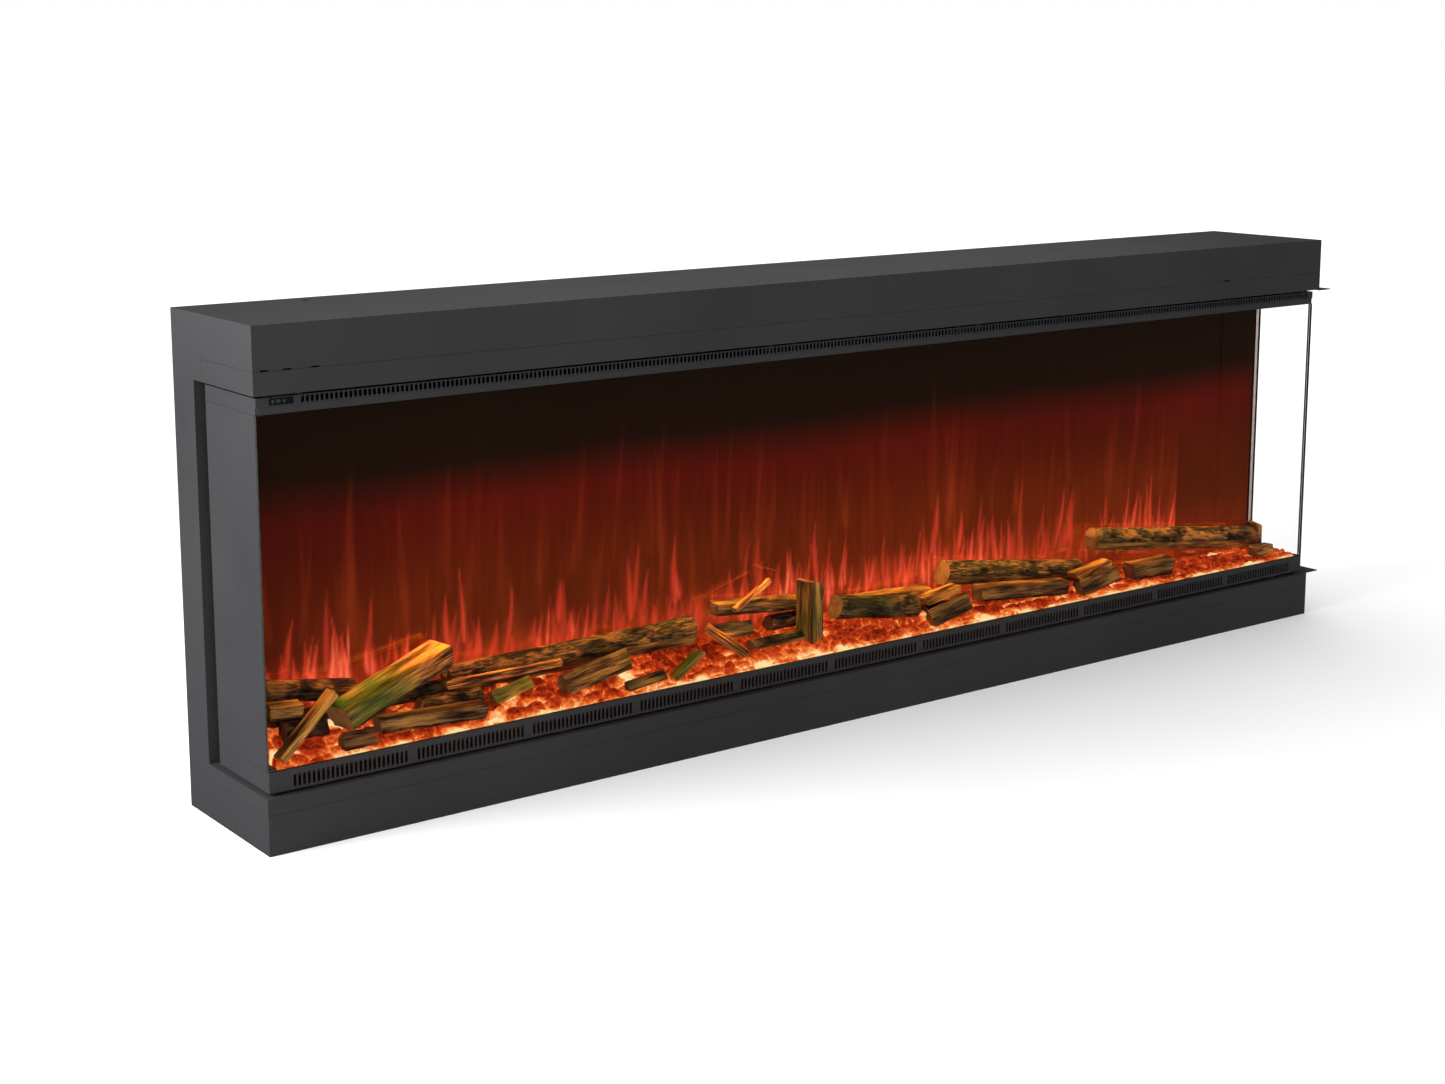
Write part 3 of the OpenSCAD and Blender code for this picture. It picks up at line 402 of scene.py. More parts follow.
# %% Mesh from points and faces
def make_piece(name, points, faces, materials, face_material=None, corner_uv=None, attributes=None):
    """A mesh object on the casing body. points are metres, faces are equal-length index rows or a list
    of such arrays, corner_uv has one pair per face corner, and attributes hold one value per point."""
    groups = faces if isinstance(faces, list) else [faces]
    corners = np.concatenate([g.ravel() for g in groups]).astype(np.int32)
    counts = np.concatenate([np.full(len(g), g.shape[1]) for g in groups]).astype(np.int32)
    mesh = bpy.data.meshes.new(name)
    mesh.vertices.add(len(points))
    mesh.vertices.foreach_set("co", np.ascontiguousarray(points, np.float32).ravel())
    mesh.loops.add(len(corners))
    mesh.loops.foreach_set("vertex_index", corners)
    mesh.polygons.add(len(counts))
    mesh.polygons.foreach_set("loop_start", np.concatenate([[0], np.cumsum(counts)[:-1]]).astype(np.int32))
    for material in materials:
        mesh.materials.append(material)
    if face_material is not None:
        mesh.polygons.foreach_set("material_index", face_material.astype(np.int32))
    if corner_uv is not None:
        mesh.uv_layers.new(name="surface").data.foreach_set("uv", corner_uv.astype(np.float32).ravel())
    for key, values in (attributes or {}).items():
        kind = "FLOAT_COLOR" if values.ndim == 2 else "FLOAT"
        field = "color" if values.ndim == 2 else "value"
        mesh.attributes.new(key, kind, "POINT").data.foreach_set(field, values.astype(np.float32).ravel())
    mesh.update(calc_edges=True)
    mesh.validate()
    mesh.shade_smooth()
    piece = bpy.data.objects.new(name, mesh)
    bpy.context.scene.collection.objects.link(piece)
    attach(piece, "casing")
    return piece


# %% [markdown]
# ## Wood
#
# The logs are moulded resin, painted like wood: rough dark bark with moss in its furrows, pale split
# faces with long fibres, and sawn or broken ends with rings. Three materials share the work, one for
# each kind of face. They read the log's own surface map, whose units are metres along and round the log,
# so that fibres run along every log however it lies. Two painted-on values vary them: moss and char.


# %% Bark, split wood and end grain
def wood(name, dark, mid, pale, along_mm, fibre, depth_mm, moss_hexes, roughness):
    """Painted wood. Fibres are along_mm across and fibre times as long. Moss turns it green and char
    darkens it, both from values stored on the mesh."""
    material, tree, shader = start(name, Specular_IOR_Level=0.3)
    stretch = (1 / fibre, 1, 1)
    fine = grain(tree, along_mm, stretch, detail=5, source="UV", rough=0.65)
    broad = grain(tree, along_mm * 7, (2.5 / fibre, 1, 1), detail=3, source="UV")
    pattern = add(tree, "Math", {0: fine, 1: broad}, operation="ADD")
    half = add(tree, "Math", {0: pattern.outputs[0], 1: 0.5}, operation="MULTIPLY")
    body = add(tree, "ValToRGB", {"Fac": half.outputs[0]}, stops=[(0.42, dark), (0.49, mid), (0.57, pale)])
    green = add(tree, "ValToRGB", {"Fac": fine}, stops=[(0.35, moss_hexes[0]), (0.65, moss_hexes[1])])
    moss = add(tree, "Attribute", attribute_name="moss")
    patch = add(tree, "MapRange", {"Value": broad, "From Min": 0.25, "From Max": 0.5})
    share = add(tree, "Math", {0: moss.outputs["Fac"], 1: patch.outputs[0]}, operation="MULTIPLY")
    mossy = add(tree, "Mix", {0: share.outputs[0], 6: body.outputs[0], 7: green.outputs[0]}, data_type="RGBA")
    char = add(tree, "Attribute", attribute_name="char")
    burnt = add(tree, "Mix", {0: char.outputs["Fac"], 6: mossy.outputs[2], 7: paint("#120b07")},
                data_type="RGBA")
    gloss = add(tree, "MapRange", {"Value": fine, "To Min": roughness - 0.1, "To Max": roughness + 0.1})
    wire(tree, shader, burnt.outputs[2], gloss.outputs[0], pattern.outputs[0], depth_mm)
    return material


bark = wood("moulded bark, weathered", "#0d0704", "#3a2312", "#8a5a2a", 2.6, 5, 2.2,
            ("#16220a", "#4d6016"), 0.85)
split = wood("split face, painted fibres", "#231006", "#7e481c", "#cf8e3c", 1.7, 18, 1.2,
             ("#1a300a", "#587a1a"), 0.7)

end_grain, tree, shader = start("sawn end with rings", Roughness=0.8, Specular_IOR_Level=0.3)
section_place = add(tree, "TexCoord")
rings = add(tree, "TexWave", {"Vector": section_place.outputs["UV"], "Scale": 190.0, "Distortion": 2.5},
            wave_type="RINGS", rings_direction="Z")
radial = grain(tree, 2, detail=4, source="UV")
pattern = add(tree, "Math", {0: rings.outputs["Fac"], 1: radial}, operation="ADD")
body = add(tree, "ValToRGB", {"Fac": pattern.outputs[0]},
           stops=[(0.3, "#4a2c14"), (0.7, "#9a6431"), (1.0, "#bd8749")])
char = add(tree, "Attribute", attribute_name="char")
burnt = add(tree, "Mix", {0: char.outputs["Fac"], 6: body.outputs[0], 7: paint("#170e08")}, data_type="RGBA")
wire(tree, shader, colour=burnt.outputs[2], height=pattern.outputs[0], depth_mm=0.8)

# %% [markdown]
# ## Log shapes
#
# A log is a section carried along a line. The section is a closed outline with a few corners. Each of
# its edges is bark, which bulges and has deep furrows, or a split face, which is flat with fine ribs.
# The line bends a little, the section swells and thins, and the ends are cut askew and slightly broken.
# The corners are in shares of the log's width and height, with the room side at -0.5.

# %% Sections
BARK, SPLIT, END = 0, 1, 2
sections = {
    "slab": [(-0.50, 0.16, BARK), (-0.40, 0.0, BARK), (0.42, 0.0, BARK), (0.50, 0.3, BARK),
             (0.44, 0.97, SPLIT), (-0.47, 0.86, SPLIT)],
    "half round": [(-0.50, 0.42, SPLIT), (-0.30, 0.02, SPLIT), (0.42, 0.0, BARK), (0.5, 0.45, BARK),
                   (0.28, 0.92, BARK), (-0.12, 1.0, BARK), (-0.44, 0.78, BARK)],
    "quarter": [(-0.50, 0.05, SPLIT), (0.40, 0.0, BARK), (0.50, 0.25, BARK), (0.36, 0.75, BARK),
                (0.05, 1.0, SPLIT)],
    "round": [(-0.48, 0.25, BARK), (-0.2, 0.0, BARK), (0.25, 0.0, BARK), (0.5, 0.3, BARK),
              (0.42, 0.78, BARK), (0.08, 1.0, BARK), (-0.3, 0.92, BARK), (-0.5, 0.6, BARK)],
    "riven": [(-0.50, 0.38, SPLIT), (-0.26, 0.0, SPLIT), (0.42, 0.0, BARK), (0.5, 0.5, BARK),
              (0.3, 0.94, BARK), (-0.1, 1.0, BARK), (-0.45, 0.72, BARK)],
    "batten": [(-0.50, 0.0, SPLIT), (0.48, 0.0, SPLIT), (0.50, 0.95, SPLIT), (-0.42, 1.0, SPLIT)]}


def outline(corners, step):
    """Points along a closed outline about step apart. A bark edge bulges by a sine of 7% of its length.
    Returns the points, the kind of face that follows each, and the distance round to each."""
    places, kinds = [], []
    for (y0, z0, kind), (y1, z1, _) in zip(corners, corners[1:] + corners[:1]):
        length = math.hypot(y1 - y0, z1 - z0)
        count = max(2, round(length / step))
        t = np.arange(count) / count
        bulge = 0.07 * length * np.sin(np.pi * t) * (kind == BARK)
        out = np.array([(z1 - z0), -(y1 - y0)]) / length
        places.append(np.stack([y0 + (y1 - y0) * t, z0 + (z1 - z0) * t], 1) + bulge[:, None] * out)
        kinds.append(np.full(count, kind))
    places, kinds = np.concatenate(places), np.concatenate(kinds)
    gaps = np.linalg.norm(np.diff(places, axis=0, append=places[:1]), axis=1)
    return places, kinds, np.concatenate([[0], np.cumsum(gaps)])


# %% A log as a surface
def log_surface(length, wide, high, section, seed, bend=0.0, taper=0.0):
    """Points of a log that lies along X with its foot at z 0, as (rings, round, 3), in metres.
    Place = line(u) + section(v) x swell(u) + outward x roughness(u, v). The line bends as a sine arch.
    The swell is 1 with slow noise and a taper. Bark roughness is a ridged noise, 1 minus its size,
    pulled out along the log; a split face has fine ribs and a few steps."""
    corners = [(y * wide, z * high, kind) for y, z, kind in sections[section]]
    shape, kinds, round_at = outline(corners, 1.5 * MM)
    rings = max(12, round(length / (2.6 * MM)))
    u = np.linspace(0, 1, rings)[:, None]
    v = round_at[None, :-1]
    along = u * length
    turns = max(3, round(round_at[-1] / (7 * MM)))
    furrow = 1 - 2 * np.abs(lattice(along / (26 * MM), v / round_at[-1] * turns, seed, turns))
    furrow += 0.5 * lattice(along / (9 * MM), v / round_at[-1] * 3 * turns, seed + 1, 3 * turns)
    ribs = lattice(along / (70 * MM), v / (1.8 * MM), seed + 2)
    steps = np.round(1.5 * lattice(along / (60 * MM), v / (9 * MM), seed + 3)) / 1.5
    rough = np.where(kinds == BARK, 1.0 * MM * (furrow - 0.4), 0.25 * MM * ribs + 0.5 * MM * steps)
    middle = np.array([0, high * 0.45])
    away = shape - middle
    away = away / np.linalg.norm(away, axis=1, keepdims=True)
    swell = 1 - taper * u + 0.05 * lattice(along / (55 * MM), np.full_like(u, 0.5), seed + 4)
    flat = middle + (shape - middle)[None] * swell[..., None] + away[None] * rough[..., None]
    lift = bend * np.sin(np.pi * u)
    askew = (u - 0.5) * 2 * 0.16 * lattice(u * 0 + seed, flat[..., 1] / (0.7 * high), seed + 5) * wide
    place = np.stack([(u - 0.5) * length + askew, flat[..., 0], np.maximum(flat[..., 1], 0) + lift], 2)
    return place, kinds, round_at, rings


# %% A log as a mesh
CAP_SHARES = (0.82, 0.5, 0.2)  # rings of an end, as shares of the log's outline
CAP_RINGS = len(CAP_SHARES)
SHARP_EDGE = math.radians(48)


def lay(points, at, turned, tipped):
    """Turns points about Y by tipped, then about Z by turned, and moves them to at."""
    a, b = math.radians(turned), math.radians(-tipped)
    tip_y = np.array([[math.cos(b), 0, math.sin(b)], [0, 1, 0], [-math.sin(b), 0, math.cos(b)]])
    turn_z = np.array([[math.cos(a), -math.sin(a), 0], [math.sin(a), math.cos(a), 0], [0, 0, 1]])
    return points @ (turn_z @ tip_y).T + np.asarray(at)


def make_log(name, node_name, at, size, section, seed, turned=0, tipped=0, moss=(0, 0), char=0.15,
             bend=0.0, taper=0.0, upright=False):
    """One log as a closed mesh: quads along its length and a ring-and-fan cap on each end. moss and char
    are shares; moss runs from its first to its second value along the log."""
    place, kinds, round_at, rings = log_surface(*size, section, seed, bend, taper)
    around = place.shape[1]
    caps = []
    for end, way in ((0, -1), (rings - 1, 1)):
        middle = place[end].mean(0)
        ring_set = []
        for share in CAP_SHARES:
            ring = middle + (place[end] - middle) * share
            ring[:, 0] += way * 1.2 * MM * lattice(ring[:, 1] / (5 * MM), ring[:, 2] / (5 * MM), seed + 7)
            ring_set.append(ring)
        caps.append((ring_set, middle))
    sheets = np.concatenate([caps[0][0][::-1], place, caps[1][0]])
    count = len(sheets)
    points = np.concatenate([sheets.reshape(-1, 3), [caps[0][1]], [caps[1][1]]])
    i, j = np.meshgrid(np.arange(count - 1), np.arange(around), indexing="ij")
    k = (j + 1) % around
    quads = np.stack([i * around + j, i * around + k, (i + 1) * around + k, (i + 1) * around + j], 2)
    quads = quads.reshape(-1, 4)
    j = np.arange(around)
    k = (j + 1) % around
    first = np.full(around, count * around)
    fans = np.concatenate([np.stack([first, k, j], 1),
                           np.stack([first + 1, (count - 1) * around + j, (count - 1) * around + k], 1)])
    is_end = (i.ravel() < CAP_RINGS) | (i.ravel() >= count - 1 - CAP_RINGS)
    face_kind = np.where(is_end, END, np.tile(kinds, count - 1))
    face_kind = np.concatenate([face_kind, np.full(len(fans), END)])
    # Surface map: metres along and round the log on its sides, and across the section on its ends
    ring_at = np.clip(np.arange(count) - CAP_RINGS, 0, rings - 1) / (rings - 1) * size[0]
    iu, jv = i.ravel(), np.tile(np.arange(around), count - 1)
    side = np.stack([np.stack([ring_at[iu], round_at[jv]], 1), np.stack([ring_at[iu], round_at[jv + 1]], 1),
                     np.stack([ring_at[iu + 1], round_at[jv + 1]], 1),
                     np.stack([ring_at[iu + 1], round_at[jv]], 1)], 1)
    side[..., 0] += seed * 0.137
    across = points[quads][..., 1:] - (0, size[2] * 0.3)
    quad_uv = np.where(is_end[:, None, None], across, side)
    fan_uv = points[fans][..., 1:] - (0, size[2] * 0.3)
    uv = np.concatenate([quad_uv.reshape(-1, 2), fan_uv.reshape(-1, 2)])
    along = points[:, 0] / size[0] + 0.5
    height = points[:, 2] / size[2]
    patch = lattice(along * size[0] / (30 * MM), points[:, 1] / (14 * MM) + 9, seed + 8)
    green = np.clip(moss[0] + (moss[1] - moss[0]) * along, 0, 1) * np.clip(0.75 + 0.5 * patch, 0, 1)
    burnt = np.clip(char + 0.35 * np.clip(0.25 - height, 0, 1) + 0.25 * patch, 0, 0.9)
    if upright:
        points = np.stack([-points[:, 2] + size[2] / 2, points[:, 1], points[:, 0]], 1)
    points = lay(points, at, turned, tipped)
    piece = make_piece(name, points, [quads, fans], [bark, split, end_grain], face_kind, uv,
                       {"moss": green, "char": burnt})
    piece.data.set_sharp_from_angle(angle=SHARP_EDGE)
    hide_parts(node_name)
    return piece


# %% [markdown]
# ## Laying the fire
#
# Eight logs have a place of their own in the frame, and the many small splits share one node. A place is
# a share of the bed's length and a distance behind the glass, as on the laying plan that comes with a
# fire. The large split log leans on another at the left, one stands upright in the middle, and two long
# curved ones lie at the right.

# %% Bed measures
bed_low, bed_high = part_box("ember_bed")
glass_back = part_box("front_glass")[1].y
bed_left = bed_low.x
bed_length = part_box("right_glass")[0].x - 2 * MM - bed_left
log_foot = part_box("ember_tray")[1].z + 6.5 * MM


def on_bed(share, behind_mm, lift_mm=0):
    """A place on the bed: a share of its length, millimetres behind the glass and above the embers."""
    return (bed_left + share * bed_length, glass_back + behind_mm * MM, log_foot + lift_mm * MM)


# %% The eight logs
make_log("moulded_log_bark_left", "log_bark_left", on_bed(0.040, 72, 48),
         (112 * MM, 26 * MM, 26 * MM), "round", 3, tipped=-8, char=0.25)
make_log("moulded_log_split_green", "log_split_green", on_bed(0.097, 45, 43),
         (168 * MM, 38 * MM, 30 * MM), "slab", 11, turned=15.6, tipped=14, moss=(1.6, -0.5), char=0.0)
make_log("moulded_log_long_dark", "log_long_dark", on_bed(0.248, 70, 25.5),
         (370 * MM, 30 * MM, 36 * MM), "half round", 5, tipped=0.8, moss=(0.0, 0.4), char=0.3)
make_log("moulded_log_dark_end", "log_dark_end", on_bed(0.252, 28, 16.5),
         (118 * MM, 24 * MM, 26 * MM), "quarter", 8, turned=12, tipped=5, moss=(0.1, 0.5), char=0.35)
upright_length = 80 * MM
x, y, z = on_bed(0.45, 37, 10.5)
make_log("moulded_log_upright", "log_upright", (x, y, z + upright_length / 2),
         (upright_length, 32 * MM, 28 * MM), "slab", 21, turned=8, moss=(0.9, 0.2), char=0.15, upright=True)
make_log("moulded_log_mossy", "log_mossy", on_bed(0.516, 39, 21.5),
         (150 * MM, 27 * MM, 32 * MM), "round", 14, tipped=-8, moss=(0.7, 0.5), char=0.2)
make_log("moulded_log_curved_bark", "log_curved_bark", on_bed(0.680, 70, 22.5),
         (280 * MM, 30 * MM, 34 * MM), "riven", 17, tipped=-7.5, moss=(0.5, 0.2), char=0.1)
make_log("moulded_log_right_bark", "log_right_bark", on_bed(0.878, 70, 26),
         (368 * MM, 30 * MM, 34 * MM), "riven", 23, tipped=-7, moss=(0.4, 0.2), char=0.1)

# %% The small splits
# share of length, mm behind the glass, length, width, height, turn, tip, lift, section, moss, char
splits = [
    (0.040, 72, 96, 26, 15, 0, 0, 23, "round", 0.0, 0.7),
    (0.016, 46, 44, 22, 18, 0, -5, 42, "slab", 0.2, 0.1),
    (0.030, 44, 52, 22, 28, 0, 0, 11, "round", 0.0, 0.6),
    (0.027, 22, 98, 16, 9, 14, 37, 32, "batten", 0.1, -0.1),
    (0.060, 12, 40, 20, 20, 0, 0, 0.5, "quarter", 0.0, 0.5),
    (0.118, 70, 82, 26, 20, 0, 0, 23, "round", 0.2, 0.3),
    (0.138, 42, 87, 20, 21, 0, -2, 12.5, "round", 0.2, 0.2),
    (0.114, 12, 144, 20, 20, 0, -3, 9, "slab", 0.1, 0.45),
    (0.183, 47, 165, 9, 9, 0, 0.3, 38, "batten", 0.0, -0.1),
    (0.186, 38, 60, 18, 16, 9, 8, 16, "quarter", 0.7, 0.2),
    (0.288, 9.5, 57, 15, 12, 0, 6, 4, "quarter", 0.4, 0.4),
    (0.326, 13, 50, 18, 6, 0, 32, 15.5, "batten", 0.9, 0.0),
    (0.370, 38, 64, 18, 8, -50, -32, 27.5, "batten", 0.0, 0.2),
    (0.412, 70, 148, 24, 18, 0, -5, 53, "slab", 0.3, 0.4),
    (0.390, 70, 62, 26, 19, 0, -3, 25, "quarter", 0.1, 0.3),
    (0.440, 70, 60, 24, 20, 0, 0, 23, "round", 0.0, 0.6),
    (0.416, 35, 90, 18, 14, 1, 0, 12.5, "half round", 0.5, 0.3),
    (0.404, 58, 80, 8, 6, 14, 20, 78, "batten", 0.0, -0.2),
    (0.538, 70, 174, 24, 20, 0, -2, 27, "slab", 0.3, 0.3),
    (0.586, 42, 70, 24, 10, 0, 9, 31, "batten", 0.1, 0.0),
    (0.586, 42, 54, 22, 13, 0, 0, 10.5, "round", 0.0, 0.7),
    (0.583, 12.5, 78, 20, 24, 0, 12, 9.5, "quarter", 0.2, 0.3),
    (0.672, 34, 176, 22, 24, 0, -5, 9.5, "slab", 0.2, 0.45),
    (0.759, 43, 74, 22, 10, 0, 9, 23, "batten", 0.1, 0.0),
    (0.759, 43, 56, 20, 14, 0, 0, 1, "round", 0.0, 0.7),
    (0.752, 12.5, 74, 20, 22, 0, 10, 8, "quarter", 0.2, 0.3),
    (0.826, 34, 86, 24, 28, 0, 0, 1, "slab", 0.2, 0.5),
    (0.969, 28, 45, 20, 16, 0, 0, 1, "batten", 0.0, -0.1),
    (0.987, 70, 15, 28, 42, 0, 0, 3, "slab", 0.0, 0.4)]
FIRST_SEED = 40
for number, row in enumerate(splits, 1):
    share, behind, long, wide, high, turned, tipped, lift, section, moss, char = row
    make_log(f"split_{number:02d}", "kindling", on_bed(share, behind, lift),
             (long * MM, wide * MM, high * MM), section, FIRST_SEED + number, turned, tipped, (moss, moss),
             char)
print("logs laid:", 8 + len(splits))

# %% [markdown]
# ## Crushed embers
#
# The bed is a layer of crushed clear and amber resin over a lit tray. Each lump is a small tilted facet,
# and the light of the tray shows most through the cracks between lumps and along the glass, where the
# layer is thin. The bed is one height over a grid: cells with random centres, each with its own height
# and tilt. The distance to the next cell's edge tells how much light gets out.


# %% Cells
def lumps(x, y, size_x, size_y, seed):
    """For each point, the nearest of one random centre per lattice cell, searched over the nine cells
    around. Returns how much farther the second nearest is, in cells, the offset from the centre, and two
    random numbers of the nearest cell."""
    rng = np.random.default_rng(seed)
    jitter = rng.uniform(0.15, 0.85, (256, 256, 2))
    luck = rng.uniform(0, 1, (256, 256, 4))
    u, v = x / size_x, y / size_y
    iu, iv = np.floor(u).astype(int), np.floor(v).astype(int)
    best = np.full(u.shape, 9.0)
    second = np.full(u.shape, 9.0)
    offset = np.zeros((*u.shape, 2))
    chance = np.zeros((*u.shape, 4))
    for du in (-1, 0, 1):
        for dv in (-1, 0, 1):
            cu, cv = iu + du, iv + dv
            spot = jitter[cu % 256, cv % 256]
            gap_u, gap_v = u - cu - spot[..., 0], v - cv - spot[..., 1]
            far = np.hypot(gap_u, gap_v)
            nearer = far < best
            second = np.where(nearer, best, np.minimum(second, far))
            best = np.where(nearer, far, best)
            offset = np.where(nearer[..., None], np.stack([gap_u, gap_v], -1), offset)
            chance = np.where(nearer[..., None], luck[cu % 256, cv % 256], chance)
    return second - best, offset, chance


# %% The bed as a height over a grid
embers, tree, shader = start("crushed amber resin, lit from below", Roughness=0.22, IOR=1.5,
                             Emission_Strength=1.0)
glow = add(tree, "Attribute", attribute_name="glow")
flicker = grain(tree, 9, (1, 1, 1), detail=5, rough=0.65)
spread = add(tree, "MapRange", {"Value": flicker, "From Min": 0.25, "From Max": 0.75, "To Min": -0.22,
                                "To Max": 0.22})
light = add(tree, "Math", {0: glow.outputs["Fac"], 1: spread.outputs[0]}, operation="ADD")
hot = add(tree, "ValToRGB", {"Fac": light.outputs[0]},
          stops=[(0.0, "#2a0702"), (0.22, "#7c1c08"), (0.42, "#bd3c12"), (0.62, "#ef7c34"),
                 (0.88, "#ffdf9c")])
tree.links.new(hot.outputs[0], shader.inputs["Emission Color"])
# Painted light: the resin's base colour follows the glow too, so it is paler where more light comes through.
body = add(tree, "ValToRGB", {"Fac": light.outputs[0]}, stops=[(0.2, "#1a0401"), (0.8, "#54180a")])
wire(tree, shader, colour=body.outputs[0], height=flicker, depth_mm=1.2)


def ember_height(x, y):
    """Height above the tray: 3.4 mm, plus up to 4.6 mm by each lump's luck, plus the lump's own tilt and
    up to 1.4 mm of fine grains. It falls to a third at a lump's edge, where the light is brightest."""
    edge, offset, chance = lumps(x, y, 27 * MM, 15 * MM, 31)
    fine_edge, fine_offset, fine_chance = lumps(x, y, 10 * MM, 6 * MM, 57)
    tilt = (chance[..., 2:] - 0.5) * offset
    high = 3.4 + 4.6 * chance[..., 0] + 9 * tilt.sum(-1) + 1.4 * fine_chance[..., 0]
    high = high * np.clip(0.35 + 2.2 * edge, 0, 1)
    bright = 0.17 + 0.34 * np.exp(-edge / 0.07) + 0.20 * chance[..., 1] ** 2
    bright = bright + 0.12 * np.exp(-fine_edge / 0.10)
    return np.clip(high, 0.6, 11) * MM, bright


def slope(x, y):
    """How far the bed has risen: 12 mm and then 24 mm where the frame's two steps are, smoothed, and a
    sixth of that on the right."""
    behind = (y - glass_back) / MM
    share = (x - bed_left) / bed_length
    rise = np.interp(behind, [5, 30, 62, 86], [0, 12, 24, 27]) * MM
    return rise * np.interp(share, [0.56, 0.64], [1, 0.17])


GRID = 1.9 * MM
PLAY = 0.6 * MM
RIM_HIGH = 0.05 * MM


def ember_bed():
    """Top of the bed: height over an even grid, level with the tray along the rim."""
    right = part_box("right_glass")[0].x - 1.0 * MM
    front, back = glass_back + PLAY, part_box("flame_screen")[0].y - PLAY
    nx, ny = round((right - bed_low.x) / GRID), round((back - front) / GRID)
    x, y = np.meshgrid(np.linspace(bed_low.x, right, nx), np.linspace(front, back, ny), indexing="ij")
    rise, bright = ember_height(x, y)
    thin = np.exp(-(y - front) / (9 * MM))
    bright = bright + 1.0 * thin * (0.55 + 0.45 * lattice(x / (26 * MM), y * 0 + 0.5, 71))
    hot_spots = np.clip(lattice(x / (34 * MM), y / (15 * MM), 73) - 0.42, 0, 1) / 0.58
    bright = bright + 0.10 * lattice(x / (90 * MM), y / (40 * MM), 72) + 0.6 * hot_spots
    rise = rise * (1 - 0.45 * thin) + slope(x, y)
    inside = np.ones_like(x)
    inside[[0, -1], :] = 0
    inside[:, [0, -1]] = 0
    top = np.stack([x, y, bed_low.z + rise * inside + RIM_HIGH], 2)
    return top.reshape(-1, 3), bright.ravel(), nx, ny


def grid_quads(nx, ny):
    """The faces of a grid of nx by ny points, four corners each."""
    i, j = np.meshgrid(np.arange(nx - 1), np.arange(ny - 1), indexing="ij")
    base = (i * ny + j).ravel()
    return np.stack([base, base + ny, base + ny + 1, base + 1], 1)


# The rim drops to the tray and a flat underside closes the bed
top, bright, nx, ny = ember_bed()
rim = np.concatenate([np.arange(ny), np.arange(1, nx) * ny + ny - 1,
                      (nx - 1) * ny + np.arange(ny - 2, -1, -1), np.arange(nx - 2, 0, -1) * ny])
first = len(top)
points = np.concatenate([top, top[rim] - (0, 0, RIM_HIGH)])
glow_values = np.concatenate([bright, np.full(len(rim), 0.6)])
here = np.arange(len(rim))
ahead = np.roll(here, -1)
quads = grid_quads(nx, ny)
skirt = np.stack([rim, rim[ahead], first + ahead, first + here], 1)
bed = make_piece("crushed_ember_bed", points, [quads, skirt, first + here[None, :]], [embers],
                 attributes={"glow": glow_values})
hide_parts("ember_bed")
print("ember bed:", len(quads), "facets")

# %% [markdown]
# ## The flame picture
#
# Behind the half mirror a diffuser carries the moving picture of the flames. Here it is one still
# moment. The ground of the picture is a tall fade: brown-black at the top, a dark red band, and amber
# above the logs. On it stand narrow tongues, each a thin leaf of light that leans and curls, and tall
# faint streaks. The picture is worked out on a fine grid and stored as a colour on each point, because a
# leaf shape has a formula and noise textures alone don't make one.

# %% Ground colours by height above the tray, as shares of the picture's height
GROUND = [(0.00, "#963a12"), (0.10, "#8c320d"), (0.20, "#7c2c08"), (0.33, "#752807"), (0.48, "#6a1a08"),
          (0.60, "#681009"), (0.67, "#480d08"), (0.74, "#160906"), (0.86, "#100906"), (1.00, "#070403")]


def ground(height, side):
    """Colour by height along the stops, in linear light. side from 0 to 1 darkens towards the left end."""
    at = np.array([g[0] for g in GROUND])
    colours = np.array([paint(g[1])[:3] for g in GROUND])
    made = np.stack([np.interp(height, at, colours[:, c]) for c in range(3)], -1)
    return made * (1 - side[..., None] * np.array([0.5, 0.75, 0.6]))


def leaf(x, z, foot_x, foot_z, tall, wide, lean, curl, power):
    """Light of one flame. With t the height from 0 at its foot to 1 at its tip, the middle line is
    foot + lean t + curl sin(3t), the half width is wide x sin(pi t^0.6)^0.8 x (1 - t/2), and the light
    falls off as a bell curve across it and fades to both ends as t^0.12 (1 - t)^0.45."""
    t = np.clip((z - foot_z) / tall, 0.001, 0.999)
    inside = (z > foot_z) & (z < foot_z + tall)
    line = foot_x + lean * t + curl * np.sin(3 * t)
    half = wide * np.sin(np.pi * t ** 0.6) ** 0.8 * (1 - 0.5 * t) + 0.4 * MM
    return power * np.exp(-((x - line) / half) ** 2) * t ** 0.12 * (1 - t) ** 0.45 * inside


# %% Paint the picture
diffuser_low, diffuser_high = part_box("flame_diffuser")
picture_foot = bed_high.z
columns, rows_up = 690, 118
x, z = np.meshgrid(np.linspace(diffuser_low.x, diffuser_high.x, columns),
                   np.linspace(diffuser_low.z, diffuser_high.z, rows_up), indexing="ij")
height = np.clip((z - picture_foot) / (diffuser_high.z - picture_foot), 0, 1)
from_left = (x - diffuser_low.x) / (diffuser_high.x - diffuser_low.x)
dark_left = np.clip(1 - from_left / 0.14, 0, 1) ** 1.5
picture = ground(height + 0.012 * lattice(x / (120 * MM), z * 0 + 0.5, 91), dark_left)
picture *= 1 + 0.14 * lattice(x / (150 * MM), z / (110 * MM), 92)[..., None]

